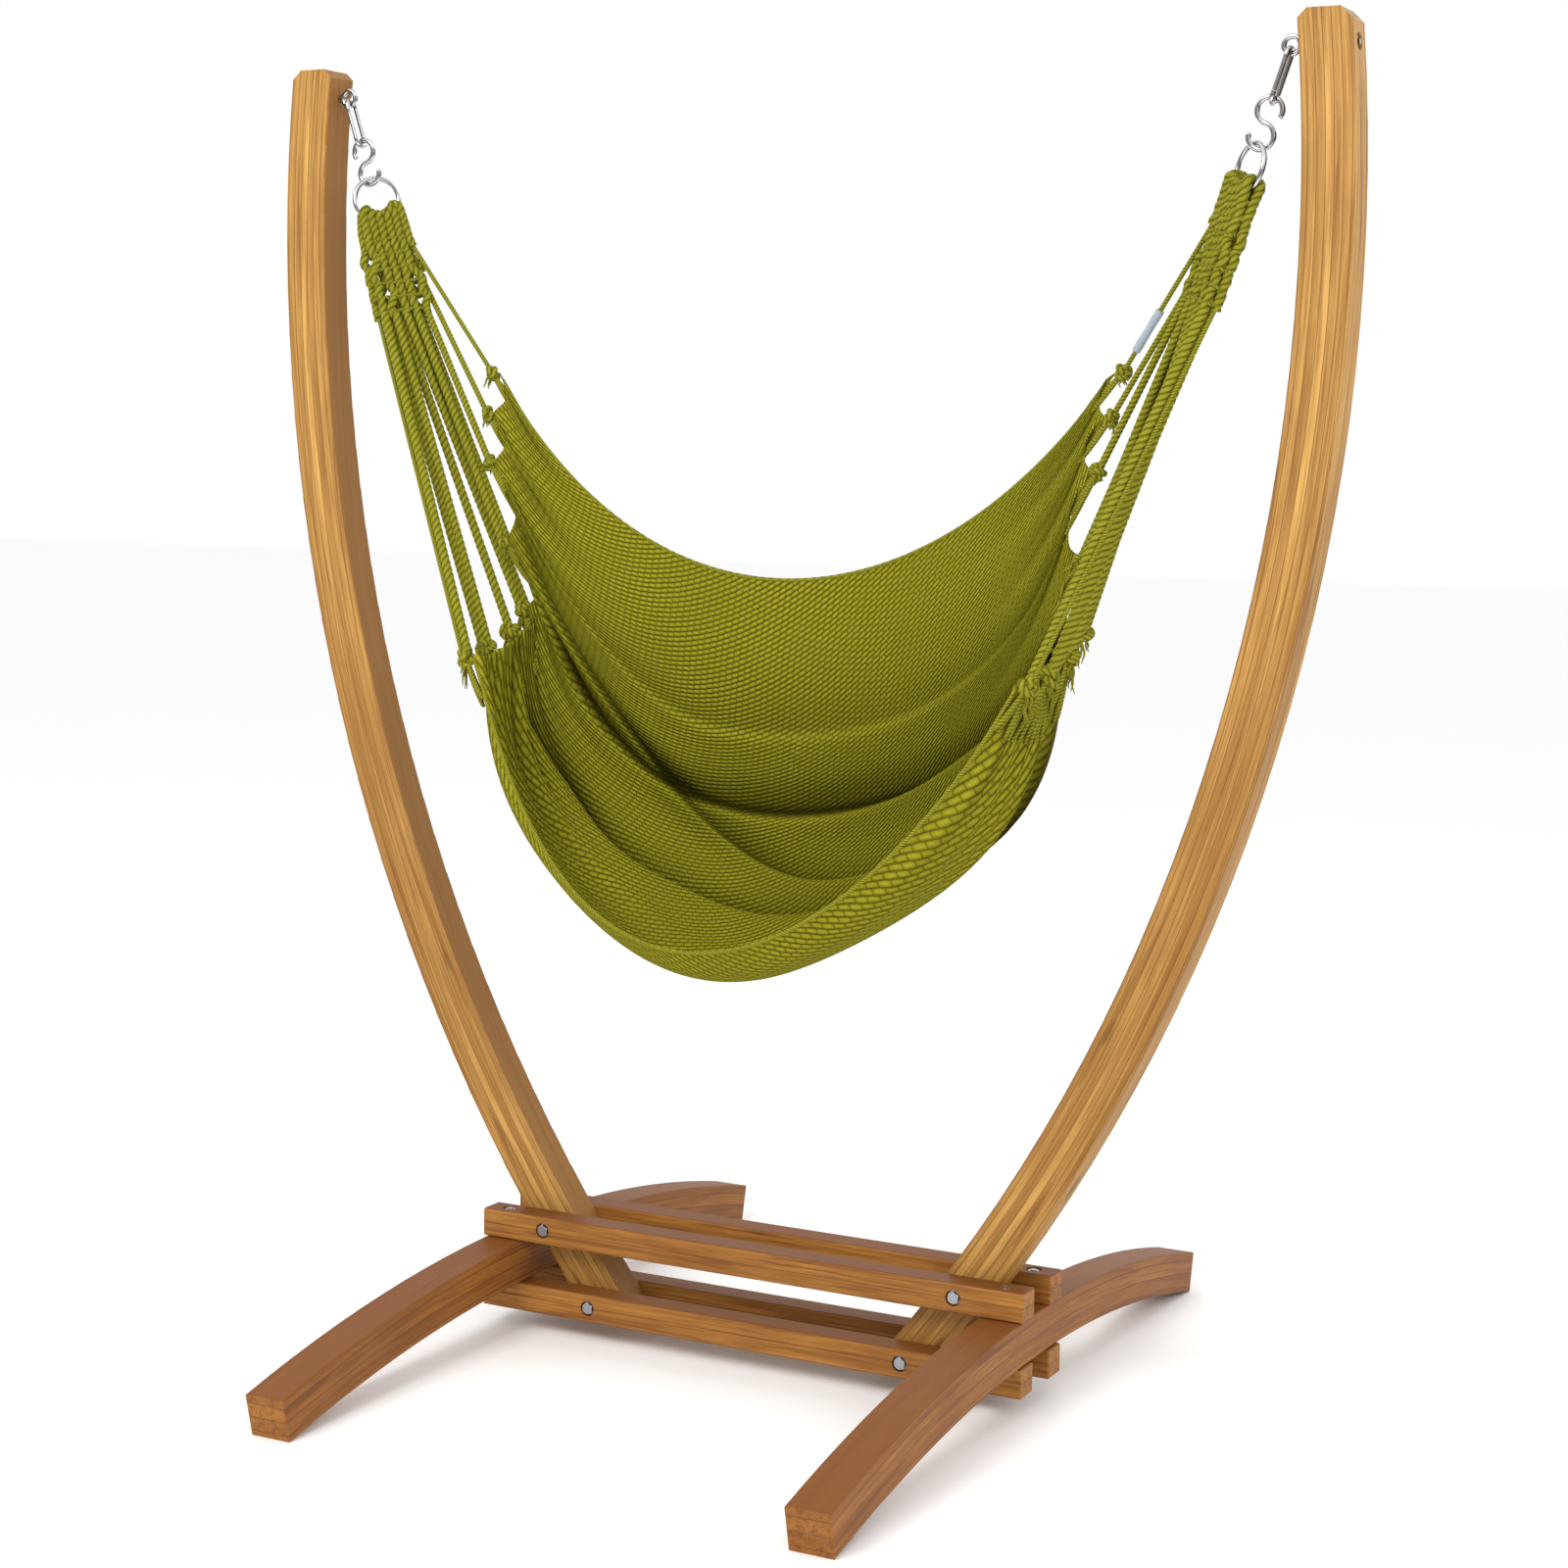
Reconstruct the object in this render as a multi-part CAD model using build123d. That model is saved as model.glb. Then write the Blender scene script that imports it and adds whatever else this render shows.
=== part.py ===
from build123d import *
import math
import os

import numpy as np

# A hammock chair hung from a bent-wood stand. Millimetres, +Z up, +Y to the back.
# The origin is on the floor, midway between the posts and between the foot ends.
# The stand and the chair are symmetrical, so the right side is made and mirrored.

# ---- stand ------------------------------------------------------------------
STAND_HEIGHT = 2050.0        # floor to the tops of the posts
POST_REACH = 905.0           # centre to the outer face of a post where it is widest
WIDEST_BELOW_TOP = 287.0     # depth of that widest point under the post top
TOP_INSET = 15.3             # how far the post leans back in at its very top
POST_BASE_REACH = 411.0      # centre to the outer face at the upper rails' middle
POST_WIDTH = 77.0            # across the laminations
POST_DEPTH = 64.0            # front to back
POST_TOP_CHAMFER = 15.0      # cut off both upper edges of a post
POST_END_LIFT = 4.0          # post end above the underside of the lower rails
POST_END_BLUNT = 6.0         # upright cut that takes off the end's sharp inner tip

RAIL_SIZE = 46.0             # square section of the four rails
RAIL_OVERHANG = 38.0         # rail end beyond the middle of a foot
RAIL_END_CHAMFER = 4.0

FOOT_LENGTH = 1420.0         # between the upper edges of a foot's two ends
FOOT_TOP = 150.0             # floor to the crown of the arch
FOOT_THICK = 69.0
FOOT_WIDTH = 68.0
FOOT_GAP = 11.0              # between a foot and the post beside it
FOOT_FLAT = 1.0              # planed off under each end, so that it stands flat

EDGE_ROUND = 3.0             # rounded edges of the wood
SEAT_GAP = 0.2               # play between pieces that are bolted together

# ---- bolts ------------------------------------------------------------------
BOLT_DIAMETER = 10.0
BOLT_HOLE_PLAY = 0.25        # radial
BOLT_HEAD_FLATS = 17.0
BOLT_HEAD_HEIGHT = 6.4
NUT_HEIGHT = 8.0
WASHER_DIAMETER = 21.0
WASHER_THICK = 2.0
HEAD_RECESS_DIAMETER = 25.0
HEAD_RECESS_DEPTH = 8.0
NUT_RECESS_DEPTH = 12.0
BOLT_END = 1.5               # thread past the nut
HEX_BEVEL = 1.2              # slope of the bevel on the corners of heads and nuts
HEX_LAND = 0.2               # radial width left beyond the flats at the bevel's top

# ---- hanging hardware ---------------------------------------------------------
WIRE = 8.0                   # round wire of the eye, the snap link, the hook and the ring
LINK_GAP = 0.3               # play where one wire hangs on another
EYE_RADIUS = 12.0            # middle of the wire
EYE_BELOW_TOP = 45.0         # eye centre under the post top
EYE_COLLAR = 1.5             # eye to the inner face of the post
EYE_COLLAR_DIAMETER = 12.8
EYE_NUT_FLATS = 13.0
EYE_NUT_HEIGHT = 6.5
EYE_THREAD_IN_POCKET = 13.0  # shank beyond the pocket's bottom
HANG_ANGLE = 18.4            # the chain's lean towards the middle, from vertical
LINK_LENGTH = 78.0           # between the middles of the snap link's end wires
LINK_RADIUS = 11.0           # middle of the wire in both end bends
HOOK_RADIUS = 18.5           # middle of the wire in both bends of the S-hook
RING_RADIUS = 36.0           # middle of the wire
RING_TURN = 43.5             # the ring's plane, turned from side-to-side about the chain
RING_PLAY = 0.9              # play between hook and ring, whose wires cross aslant
GATE_DIAMETER = 7.4
GATE_PIVOT_DOWN = 24.0       # eye centre to the gate's pivot
GATE_NOSE_DOWN = 65.0        # eye centre to the free end of the gate
GATE_END_PLAY = 0.5
TONGUE_SINK = 2.0            # tongue's root inside the end of the link's wire
TONGUE_THICK = 2.6
TONGUE_RADIUS = 2.7
GATE_SLOT = 3.2
PIN_DIAMETER = 2.4
PIN_PLAY = 0.05
PIN_PROUD = 0.2              # pin beyond the gate's cheeks at each end
HOOK_OPENING_UP = -10.0      # degrees: the upper bend's free end, from level
HOOK_OPENING_DOWN = 10.0     # the lower bend's free end, short of level

# ---- hammock chair ------------------------------------------------------------
# Heights are from the ring's centre down. The side edge runs from the back corner
# down to the front corner, in eight knots; the middle line runs from the back edge
# down under the seat and up to the front lip.
KNOTS = [
    (547.0, 47.0, -282.0),
    (540.0, 22.0, -349.0),
    (527.0, 8.0, -427.0),
    (502.0, 18.0, -556.0),
    (490.0, 58.0, -667.0),
    (489.0, 14.0, -701.0),
    (487.0, -60.0, -726.0),
    (482.0, -128.0, -735.0),
]
KNOT_SHARES = [0.0, 0.12, 0.25, 0.45, 0.62, 0.74, 0.87, 1.0]
MIDDLE = [
    (26.0, -599.0),
    (55.0, -724.0),
    (88.0, -854.0),
    (110.0, -959.0),
    (92.0, -1049.0),
    (30.0, -1121.0),
    (-50.0, -1174.0),
    (-145.0, -1205.0),
    (-222.0, -1187.0),
    (-276.0, -1142.0),
]
MIDDLE_SHARES = [0.0, 0.12, 0.25, 0.38, 0.50, 0.62, 0.74, 0.85, 0.93, 1.0]
FABRIC_THICK = 5.0
BULGE = 40.0                 # the lower front sides swell out and down by about this much
BULGE_FROM = 0.45            # share of the cloth's length where that swelling starts
EDGE_INSET = 14.4            # fabric edge inside the knots' centres
KNOT_RADIUS = 11.0
KNOT_GAP = 0.3               # knot to fabric edge and to cord end
CORD_DIAMETER = 9.0
CORD_GAP = 0.3               # half the space between two cords at one knot
CORD_KNOTS = [7, 7, 6, 6, 5, 4, 4, 3, 3, 2, 1, 0]   # the knot that each cord ends at
HEAD_TOP = 18.0              # woven head's upper edge under the ring's centre
HEAD_LENGTH = 180.0
HEAD_TOP_WIDTH = 72.0
HEAD_BOTTOM_WIDTH = 94.0
HEAD_MARGIN = 15.0           # head's lower width beyond the outermost cords' middles
HEAD_THICK = 20.0
HEAD_LEAN = 18.0             # the head's axis, from vertical towards the middle
HEAD_FORWARD = 4.0           # and from vertical to the front
CORD_LAYER = 5.6             # the cords leave the head in two layers, this far off its middle
LABEL_LENGTH = 70.0
LABEL_WALL = 1.6
LABEL_UP = 30.0              # label sleeve's lower end above the back corner knot


# ---- places worked out from those sizes ---------------------------------------
def foot_radius():
    """Radius of the foot's upper face: its chord is FOOT_LENGTH and its lower corners,
    cut square to the curve, end FOOT_FLAT under the floor plane before planing."""
    low, high = FOOT_LENGTH, 40.0 * FOOT_LENGTH
    for _ in range(80):
        middle = (low + high) / 2
        half = math.asin(FOOT_LENGTH / 2 / middle)
        corner = FOOT_TOP - middle + (middle - FOOT_THICK) * math.cos(half)
        low, high = (middle, high) if corner < -FOOT_FLAT else (low, middle)
    return middle


FOOT_RADIUS = foot_radius()
RAIL_INNER = POST_DEPTH / 2 + SEAT_GAP            # y of the rails' inner faces
RAIL_OUTER = RAIL_INNER + RAIL_SIZE
RAIL_MIDDLE = RAIL_INNER + RAIL_SIZE / 2


def foot_height(y, under=0.0):
    """Height of the foot's upper face, or of the face that lies `under` below it."""
    radius = FOOT_RADIUS - under
    return FOOT_TOP - FOOT_RADIUS + math.sqrt(radius ** 2 - y ** 2)


UPPER_RAIL_BOTTOM = foot_height(RAIL_INNER) + SEAT_GAP
LOWER_RAIL_TOP = foot_height(RAIL_OUTER, FOOT_THICK) - SEAT_GAP
LOWER_RAIL_BOTTOM = LOWER_RAIL_TOP - RAIL_SIZE
UPPER_BOLT = UPPER_RAIL_BOTTOM + RAIL_SIZE / 2
LOWER_BOLT = LOWER_RAIL_TOP - RAIL_SIZE / 2

WIDEST_HEIGHT = STAND_HEIGHT - WIDEST_BELOW_TOP
SWEEP_IN = POST_REACH - POST_BASE_REACH
SWEEP_DOWN = WIDEST_HEIGHT - UPPER_BOLT
LOW_RADIUS = (SWEEP_IN ** 2 + SWEEP_DOWN ** 2) / (2 * SWEEP_IN)
HIGH_RADIUS = (TOP_INSET ** 2 + WIDEST_BELOW_TOP ** 2) / (2 * TOP_INSET)


def post_x(height, inward=0.0):
    """Distance from the middle to the post's outer face, or to the face inside it."""
    radius = LOW_RADIUS if height < WIDEST_HEIGHT else HIGH_RADIUS
    return POST_REACH - radius + math.sqrt((radius - inward) ** 2 - (height - WIDEST_HEIGHT) ** 2)


FOOT_X = post_x(FOOT_TOP) + FOOT_GAP + FOOT_WIDTH / 2
RAIL_LENGTH = 2 * (FOOT_X + RAIL_OVERHANG)
EYE_HEIGHT = STAND_HEIGHT - EYE_BELOW_TOP
EYE_OUTER = EYE_RADIUS + WIRE / 2
EYE_X = post_x(EYE_HEIGHT, POST_WIDTH) - EYE_COLLAR - EYE_OUTER

# Distances down the chain from the eye's centre.
PITCH = WIRE + LINK_GAP
EYE_BOTTOM = EYE_RADIUS
LINK_TOP = EYE_BOTTOM - PITCH
LINK_BOTTOM = LINK_TOP + LINK_LENGTH
HOOK_TOP = LINK_BOTTOM - PITCH
HOOK_BOTTOM = HOOK_TOP + 4 * HOOK_RADIUS
RING_TOP = HOOK_BOTTOM - WIRE - RING_PLAY
RING_DOWN = RING_TOP + RING_RADIUS


def on_chain(down):
    """The point of the right chain that is `down` from the eye's centre."""
    lean = math.radians(HANG_ANGLE)
    return Vector(EYE_X - down * math.sin(lean), 0, EYE_HEIGHT - down * math.cos(lean))


RING_CENTRE = on_chain(RING_DOWN)


# ---- helpers ------------------------------------------------------------------
def both_sides(shape):
    return shape, mirror(shape, about=Plane.YZ)


def save(name, *solids):
    shape = solids[0] if len(solids) == 1 else Compound(children=list(solids))
    export_step(shape, f"parts/{name}.step")


def save_pair(name, shape):
    right, left = both_sides(shape)
    save(f"{name}_right", right)
    save(f"{name}_left", left)


def hang(shape):
    """Moves a piece drawn down the -Z axis from the eye's centre to the right chain."""
    return Pos(EYE_X, 0, EYE_HEIGHT) * Rot(0, HANG_ANGLE, 0) * shape


def rod(start, end, diameter):
    """A round bar between two points."""
    start, end = Vector(*start), Vector(*end)
    plane = Plane(origin=start, z_dir=end - start)
    return extrude(plane * Circle(diameter / 2), amount=(end - start).length)


def hexagon_prism(flats, height):
    body = extrude(RegularPolygon(flats / 2, 6, major_radius=False), amount=height)
    base = (Align.CENTER, Align.CENTER, Align.MIN)
    return body & Cone(flats / 2 + height * HEX_BEVEL, flats / 2 + HEX_LAND, height, align=base)


def hex_nut(flats, height, thread):
    return hexagon_prism(flats, height) - Cylinder(thread / 2 + PIN_PLAY, height * 3)


def ring_washer(outer, inner, thick):
    return extrude(Circle(outer / 2) - Circle(inner / 2), amount=thick)


def smooth(shares, points, at):
    """Smooth curve through points at given shares of its length: cubic pieces whose slope
    at each point is the mean of the slopes beside it."""
    shares, points = np.asarray(shares), np.asarray(points)
    slopes = np.gradient(points, shares, axis=0)
    k = np.clip(np.searchsorted(shares, at, side="right") - 1, 0, len(shares) - 2)
    span = (shares[k + 1] - shares[k])[..., None]
    t = ((at - shares[k]) / (shares[k + 1] - shares[k]))[..., None]
    rise = points[k] * (1 + 2 * t) * (1 - t) ** 2 + points[k + 1] * t ** 2 * (3 - 2 * t)
    return rise + span * (slopes[k] * t * (1 - t) ** 2 - slopes[k + 1] * t ** 2 * (1 - t))


# ---- wood ---------------------------------------------------------------------
def bolt_cutter(start, end):
    """What one bolt takes out of the wood from `start`, its head end, to `end`."""
    start, end = Vector(*start), Vector(*end)
    along = (end - start).normalized()
    reach = 40.0
    hole = rod(start - along * reach, end + along * reach, BOLT_DIAMETER + 2 * BOLT_HOLE_PLAY)
    head = rod(start - along * reach, start + along * HEAD_RECESS_DEPTH, HEAD_RECESS_DIAMETER)
    nut = rod(end - along * NUT_RECESS_DEPTH, end + along * reach, HEAD_RECESS_DIAMETER)
    return hole + head + nut


def post_bolt_lines():
    """Both ends of the four bolts that clamp the rails on the posts, from front to back."""
    lines = []
    for side in (1, -1):
        for height in (UPPER_BOLT, LOWER_BOLT):
            x = side * (post_x(height) + post_x(height, POST_WIDTH)) / 2
            lines.append(((x, -RAIL_OUTER, height), (x, RAIL_OUTER, height)))
    return lines


def foot_bolt_lines():
    """Both ends of the four bolts that clamp the rails on the feet, from below to above."""
    top = UPPER_RAIL_BOTTOM + RAIL_SIZE
    places = [(x, y) for x in (FOOT_X, -FOOT_X) for y in (-RAIL_MIDDLE, RAIL_MIDDLE)]
    return [((x, y, LOWER_RAIL_BOTTOM), (x, y, top)) for x, y in places]


def make_rail(y, bottom, cutters):
    body = Pos(0, y, bottom + RAIL_SIZE / 2) * Box(RAIL_LENGTH, RAIL_SIZE, RAIL_SIZE)
    body = fillet(body.edges().filter_by(Axis.X), EDGE_ROUND)
    ends = body.faces().filter_by(Axis.X)
    body = chamfer(ends.edges(), RAIL_END_CHAMFER / 2)
    for cutter in cutters:
        body = body - cutter
    return body


def make_foot(cutters):
    inner = FOOT_RADIUS - FOOT_THICK
    half = math.degrees(math.asin(FOOT_LENGTH / 2 / FOOT_RADIUS))
    outer_arc = CenterArc((0, 0), FOOT_RADIUS, 90 - half, 2 * half)
    inner_arc = CenterArc((0, 0), inner, 90 - half, 2 * half)
    ends = [Line(outer_arc @ k, inner_arc @ k) for k in (0, 1)]
    outline = Pos(0, FOOT_TOP - FOOT_RADIUS) * make_face([outer_arc, inner_arc, *ends])
    body = extrude(Plane.YZ * outline, amount=FOOT_WIDTH / 2, both=True)
    body = fillet(body.edges().filter_by(lambda edge: edge.length > FOOT_WIDTH * 2), EDGE_ROUND)
    body = body & Pos(0, 0, FOOT_TOP) * Box(FOOT_WIDTH * 2, FOOT_LENGTH * 2, FOOT_TOP * 2)
    body = Pos(FOOT_X, 0, 0) * body
    for cutter in cutters:
        body = body - cutter
    return body


def post_stretch(radius, start, end):
    """Post section swung about the centre of one arc, from angle to angle in degrees,
    counted up from the level of the widest point."""
    section = RectangleRounded(POST_WIDTH, POST_DEPTH, EDGE_ROUND)
    centre = POST_REACH - radius
    section = Pos(POST_REACH - POST_WIDTH / 2, 0, WIDEST_HEIGHT) * section
    axis = Axis((centre, 0, WIDEST_HEIGHT), (0, -1, 0))
    return revolve(section.rotate(axis, start), axis=axis, revolution_arc=end - start)


def make_post(cutters):
    low = LOWER_RAIL_BOTTOM + POST_END_LIFT
    start = -math.degrees(math.asin((WIDEST_HEIGHT - low + POST_DEPTH) / LOW_RADIUS))
    end = math.degrees(math.asin(WIDEST_BELOW_TOP / (HIGH_RADIUS - POST_WIDTH)))
    body = post_stretch(LOW_RADIUS, start, 0) + post_stretch(HIGH_RADIUS, 0, end)
    outer, inner, drop = post_x(STAND_HEIGHT), post_x(STAND_HEIGHT, POST_WIDTH), 3 * POST_TOP_CHAMFER
    corners = [
        (outer + 2 * POST_TOP_CHAMFER, low),
        (outer + 2 * POST_TOP_CHAMFER, STAND_HEIGHT - drop),
        (outer - POST_TOP_CHAMFER, STAND_HEIGHT),
        (inner + POST_TOP_CHAMFER, STAND_HEIGHT),
        (inner - 2 * POST_TOP_CHAMFER, STAND_HEIGHT - drop),
        (0, STAND_HEIGHT - drop),
        (0, low + 3 * POST_END_BLUNT),
        (post_x(low, POST_WIDTH) + POST_END_BLUNT, low + 3 * POST_END_BLUNT),
        (post_x(low, POST_WIDTH) + POST_END_BLUNT, low),
    ]
    kept = Plane.XZ * make_face(Polyline(*corners, close=True))
    body = body & extrude(kept, amount=POST_DEPTH, both=True)
    for cutter in cutters:
        body = body - cutter
    hole = rod((EYE_X, 0, EYE_HEIGHT), (POST_REACH * 2, 0, EYE_HEIGHT), WIRE + 2 * BOLT_HOLE_PLAY)
    return body - hole - eye_recess()


def eye_recess():
    """The round pocket for the eye bolt's nut in the outer face of the right post."""
    face = post_x(EYE_HEIGHT)
    start, end = (face - NUT_RECESS_DEPTH, 0, EYE_HEIGHT), (POST_REACH * 2, 0, EYE_HEIGHT)
    return rod(start, end, HEAD_RECESS_DIAMETER)


def bolt_set(lines):
    """Bolts, washers and nuts on the given lines, each as a list of solids."""
    bolts, washers, nuts = [], [], []
    for start, end in lines:
        length = (Vector(*end) - Vector(*start)).length
        place = Plane(origin=start, z_dir=Vector(*end) - Vector(*start))
        head_seat = HEAD_RECESS_DEPTH - WASHER_THICK
        nut_seat = length - NUT_RECESS_DEPTH + WASHER_THICK
        head = Pos(0, 0, head_seat) * Rot(180, 0, 0) * hexagon_prism(BOLT_HEAD_FLATS, BOLT_HEAD_HEIGHT)
        reach = nut_seat + NUT_HEIGHT + BOLT_END - head_seat
        shank = Pos(0, 0, head_seat) * extrude(Circle(BOLT_DIAMETER / 2), amount=reach)
        bolts.append(place * (head + shank))
        bore = BOLT_DIAMETER + 2 * BOLT_HOLE_PLAY
        disc = ring_washer(WASHER_DIAMETER, bore, WASHER_THICK)
        washers += [place * Pos(0, 0, head_seat) * disc, place * Pos(0, 0, nut_seat - WASHER_THICK) * disc]
        nuts.append(place * Pos(0, 0, nut_seat) * hex_nut(BOLT_HEAD_FLATS, NUT_HEIGHT, BOLT_DIAMETER))
    return bolts, washers, nuts


# ---- hanging hardware, drawn down the -Z axis from the eye's centre --------------
def eye_bolt():
    """The eye with its shank, which runs out through the right post, and its collar."""
    face = post_x(EYE_HEIGHT) - EYE_X
    loop = Rot(90, 0, 0) * Torus(EYE_RADIUS, WIRE / 2)
    seat = post_x(EYE_HEIGHT, POST_WIDTH) - EYE_X
    shank = rod((EYE_RADIUS, 0, 0), (face - NUT_RECESS_DEPTH + EYE_THREAD_IN_POCKET, 0, 0), WIRE)
    collar = rod((EYE_RADIUS, 0, 0), (seat - 3 * SEAT_GAP, 0, 0), EYE_COLLAR_DIAMETER)
    return Pos(EYE_X, 0, EYE_HEIGHT) * (loop + shank + collar)


def eye_fasteners():
    """Washer and nut in the pocket of the right post."""
    bottom = post_x(EYE_HEIGHT) - NUT_RECESS_DEPTH
    place = Pos(bottom, 0, EYE_HEIGHT) * Rot(0, 90, 0)
    washer = ring_washer(WASHER_DIAMETER, WIRE + 2 * BOLT_HOLE_PLAY, WASHER_THICK)
    nut = hex_nut(EYE_NUT_FLATS, EYE_NUT_HEIGHT, WIRE)
    return place * washer, place * Pos(0, 0, WASHER_THICK) * nut


def snap_link():
    """Long link of round wire in the YZ plane, open on its front side for the gate."""
    top, bottom = LINK_TOP + LINK_RADIUS, LINK_BOTTOM - LINK_RADIUS
    shoulder = GATE_PIVOT_DOWN - GATE_DIAMETER / 2 - LINK_GAP
    nose = GATE_NOSE_DOWN + GATE_END_PLAY
    path = [
        Line((-LINK_RADIUS, -shoulder), (-LINK_RADIUS, -top)),
        CenterArc((0, -top), LINK_RADIUS, 180, -180),
        Line((LINK_RADIUS, -top), (LINK_RADIUS, -bottom)),
        CenterArc((0, -bottom), LINK_RADIUS, 0, -180),
        Line((-LINK_RADIUS, -bottom), (-LINK_RADIUS, -nose)),
    ]
    wire = Plane.YZ * Wire(path)
    section = Plane(origin=wire @ 0, z_dir=wire % 0) * Circle(WIRE / 2)
    body = sweep(section, path=wire)
    tongue = Pos(0, -LINK_RADIUS, -GATE_PIVOT_DOWN) * Rot(0, 90, 0)
    tip = tongue * Cylinder(TONGUE_RADIUS, TONGUE_THICK)
    height = GATE_PIVOT_DOWN - shoulder + TONGUE_SINK
    neck = Pos(0, -LINK_RADIUS, -GATE_PIVOT_DOWN + height / 2)
    neck = neck * Box(TONGUE_THICK, 2 * TONGUE_RADIUS, height)
    return body + tip + neck - tongue * Cylinder(PIN_DIAMETER / 2 + PIN_PLAY, WIRE * 2)


def gate():
    """Spring gate of the snap link: a rod with a forked upper end."""
    length = GATE_NOSE_DOWN - GATE_PIVOT_DOWN
    top = GATE_DIAMETER
    bar = Pos(0, 0, (top - length) / 2) * Cylinder(GATE_DIAMETER / 2, length + top)
    below = Pos(0, 0, -length) * Box(WIRE * 2, WIRE * 2, 2 * length)
    eye = Rot(0, 90, 0) * Cylinder(GATE_DIAMETER / 2, WIRE * 2)
    bar = bar & (below + eye)
    depth = TONGUE_RADIUS + 2 * LINK_GAP
    slot = Pos(0, 0, WIRE / 2 - depth) * Box(GATE_SLOT, WIRE * 2, WIRE)
    hole = Rot(0, 90, 0) * Cylinder(PIN_DIAMETER / 2 + PIN_PLAY, WIRE * 2)
    return Pos(0, -LINK_RADIUS, -GATE_PIVOT_DOWN) * (bar - slot - hole)


def gate_pin():
    width = GATE_DIAMETER + 2 * PIN_PROUD
    return Pos(0, -LINK_RADIUS, -GATE_PIVOT_DOWN) * Rot(0, 90, 0) * Cylinder(PIN_DIAMETER / 2, width)


def s_hook():
    upper, lower = HOOK_TOP + HOOK_RADIUS, HOOK_BOTTOM - HOOK_RADIUS
    path = [
        CenterArc((0, -upper), HOOK_RADIUS, HOOK_OPENING_UP, 270 - HOOK_OPENING_UP),
        CenterArc((0, -lower), HOOK_RADIUS, 90, HOOK_OPENING_DOWN - 270),
    ]
    wire = Plane.XZ * Wire(path)
    section = Plane(origin=wire @ 0, z_dir=wire % 0) * Circle(WIRE / 2)
    body = sweep(section, path=wire)
    ends = [Pos(*(wire @ k)) * Sphere(WIRE / 2) for k in (0, 1)]
    return body + ends[0] + ends[1]


def ring():
    return Pos(0, 0, -RING_DOWN) * Rot(0, 0, -RING_TURN) * Rot(90, 0, 0) * Torus(RING_RADIUS, WIRE / 2)


# ---- hammock chair --------------------------------------------------------------
HEAD_ACROSS = Vector(-math.cos(math.radians(RING_TURN)), math.sin(math.radians(RING_TURN)), 0)
LEAN, FORWARD = math.radians(HEAD_LEAN), math.radians(HEAD_FORWARD)
HEAD_DOWN = Vector(-math.sin(LEAN), -math.sin(FORWARD), -math.cos(LEAN)).normalized()
HEAD_ACROSS = (HEAD_ACROSS - HEAD_DOWN * HEAD_ACROSS.dot(HEAD_DOWN)).normalized()
HEAD_PLANE = Plane(origin=RING_CENTRE, x_dir=HEAD_ACROSS, z_dir=HEAD_ACROSS.cross(HEAD_DOWN))


def woven_head():
    """Flat woven band that wraps the ring's lower side, wider at its lower edge."""
    top, bottom = -HEAD_TOP, -HEAD_TOP - HEAD_LENGTH
    corners = [
        (-HEAD_TOP_WIDTH / 2, top),
        (HEAD_TOP_WIDTH / 2, top),
        (HEAD_BOTTOM_WIDTH / 2, bottom),
        (-HEAD_BOTTOM_WIDTH / 2, bottom),
    ]
    sign = 1 if HEAD_PLANE.y_dir.dot(HEAD_DOWN) < 0 else -1
    outline = Polyline(*[(x, sign * y) for x, y in corners], close=True)
    body = extrude(HEAD_PLANE * make_face(outline), amount=HEAD_THICK / 2, both=True)
    body = fillet(body.edges(), HEAD_THICK / 4)
    groove = Rot(0, 0, -RING_TURN) * Rot(90, 0, 0) * Torus(RING_RADIUS, WIRE / 2 + LINK_GAP)
    return body - hang(Pos(0, 0, -RING_DOWN) * groove)


def knot_place(index):
    x, y, z = KNOTS[index]
    return Vector(x, y, z + RING_CENTRE.Z)


def head_exit(order):
    """Where a cord leaves the head's lower edge, counted from the outer front end."""
    step = (HEAD_BOTTOM_WIDTH - HEAD_MARGIN) / (len(CORD_KNOTS) - 1)
    across = (order - (len(CORD_KNOTS) - 1) / 2) * step
    layer = CORD_LAYER if order % 2 else -CORD_LAYER
    down = HEAD_TOP + HEAD_LENGTH
    return RING_CENTRE + HEAD_ACROSS * across + HEAD_DOWN * down + HEAD_PLANE.z_dir * layer


def cord_line(order):
    """Both ends of a taut cord, just clear of the head and of the knot. Cords that share
    a knot end beside each other."""
    index = CORD_KNOTS[order]
    sharing = [k for k, knot in enumerate(CORD_KNOTS) if knot == index]
    offset = (sharing.index(order) - (len(sharing) - 1) / 2) * (CORD_DIAMETER + 2 * CORD_GAP)
    start, knot = head_exit(order), knot_place(index)
    along = (knot - start).normalized()
    aside = (HEAD_ACROSS - along * HEAD_ACROSS.dot(along)).normalized()
    end = knot + aside * offset
    along = (end - start).normalized()
    tilt = math.acos(min(1.0, along.dot(HEAD_DOWN)))
    start = start + along * (CORD_DIAMETER / 2 * math.tan(tilt) + SEAT_GAP)
    return start, end - along * (KNOT_RADIUS + KNOT_GAP)


def suspension_cords():
    return [rod(*cord_line(order), CORD_DIAMETER) for order in range(len(CORD_KNOTS))]


def side_knots():
    return [Pos(*knot_place(k)) * Sphere(KNOT_RADIUS) for k in range(len(KNOTS))]


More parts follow.
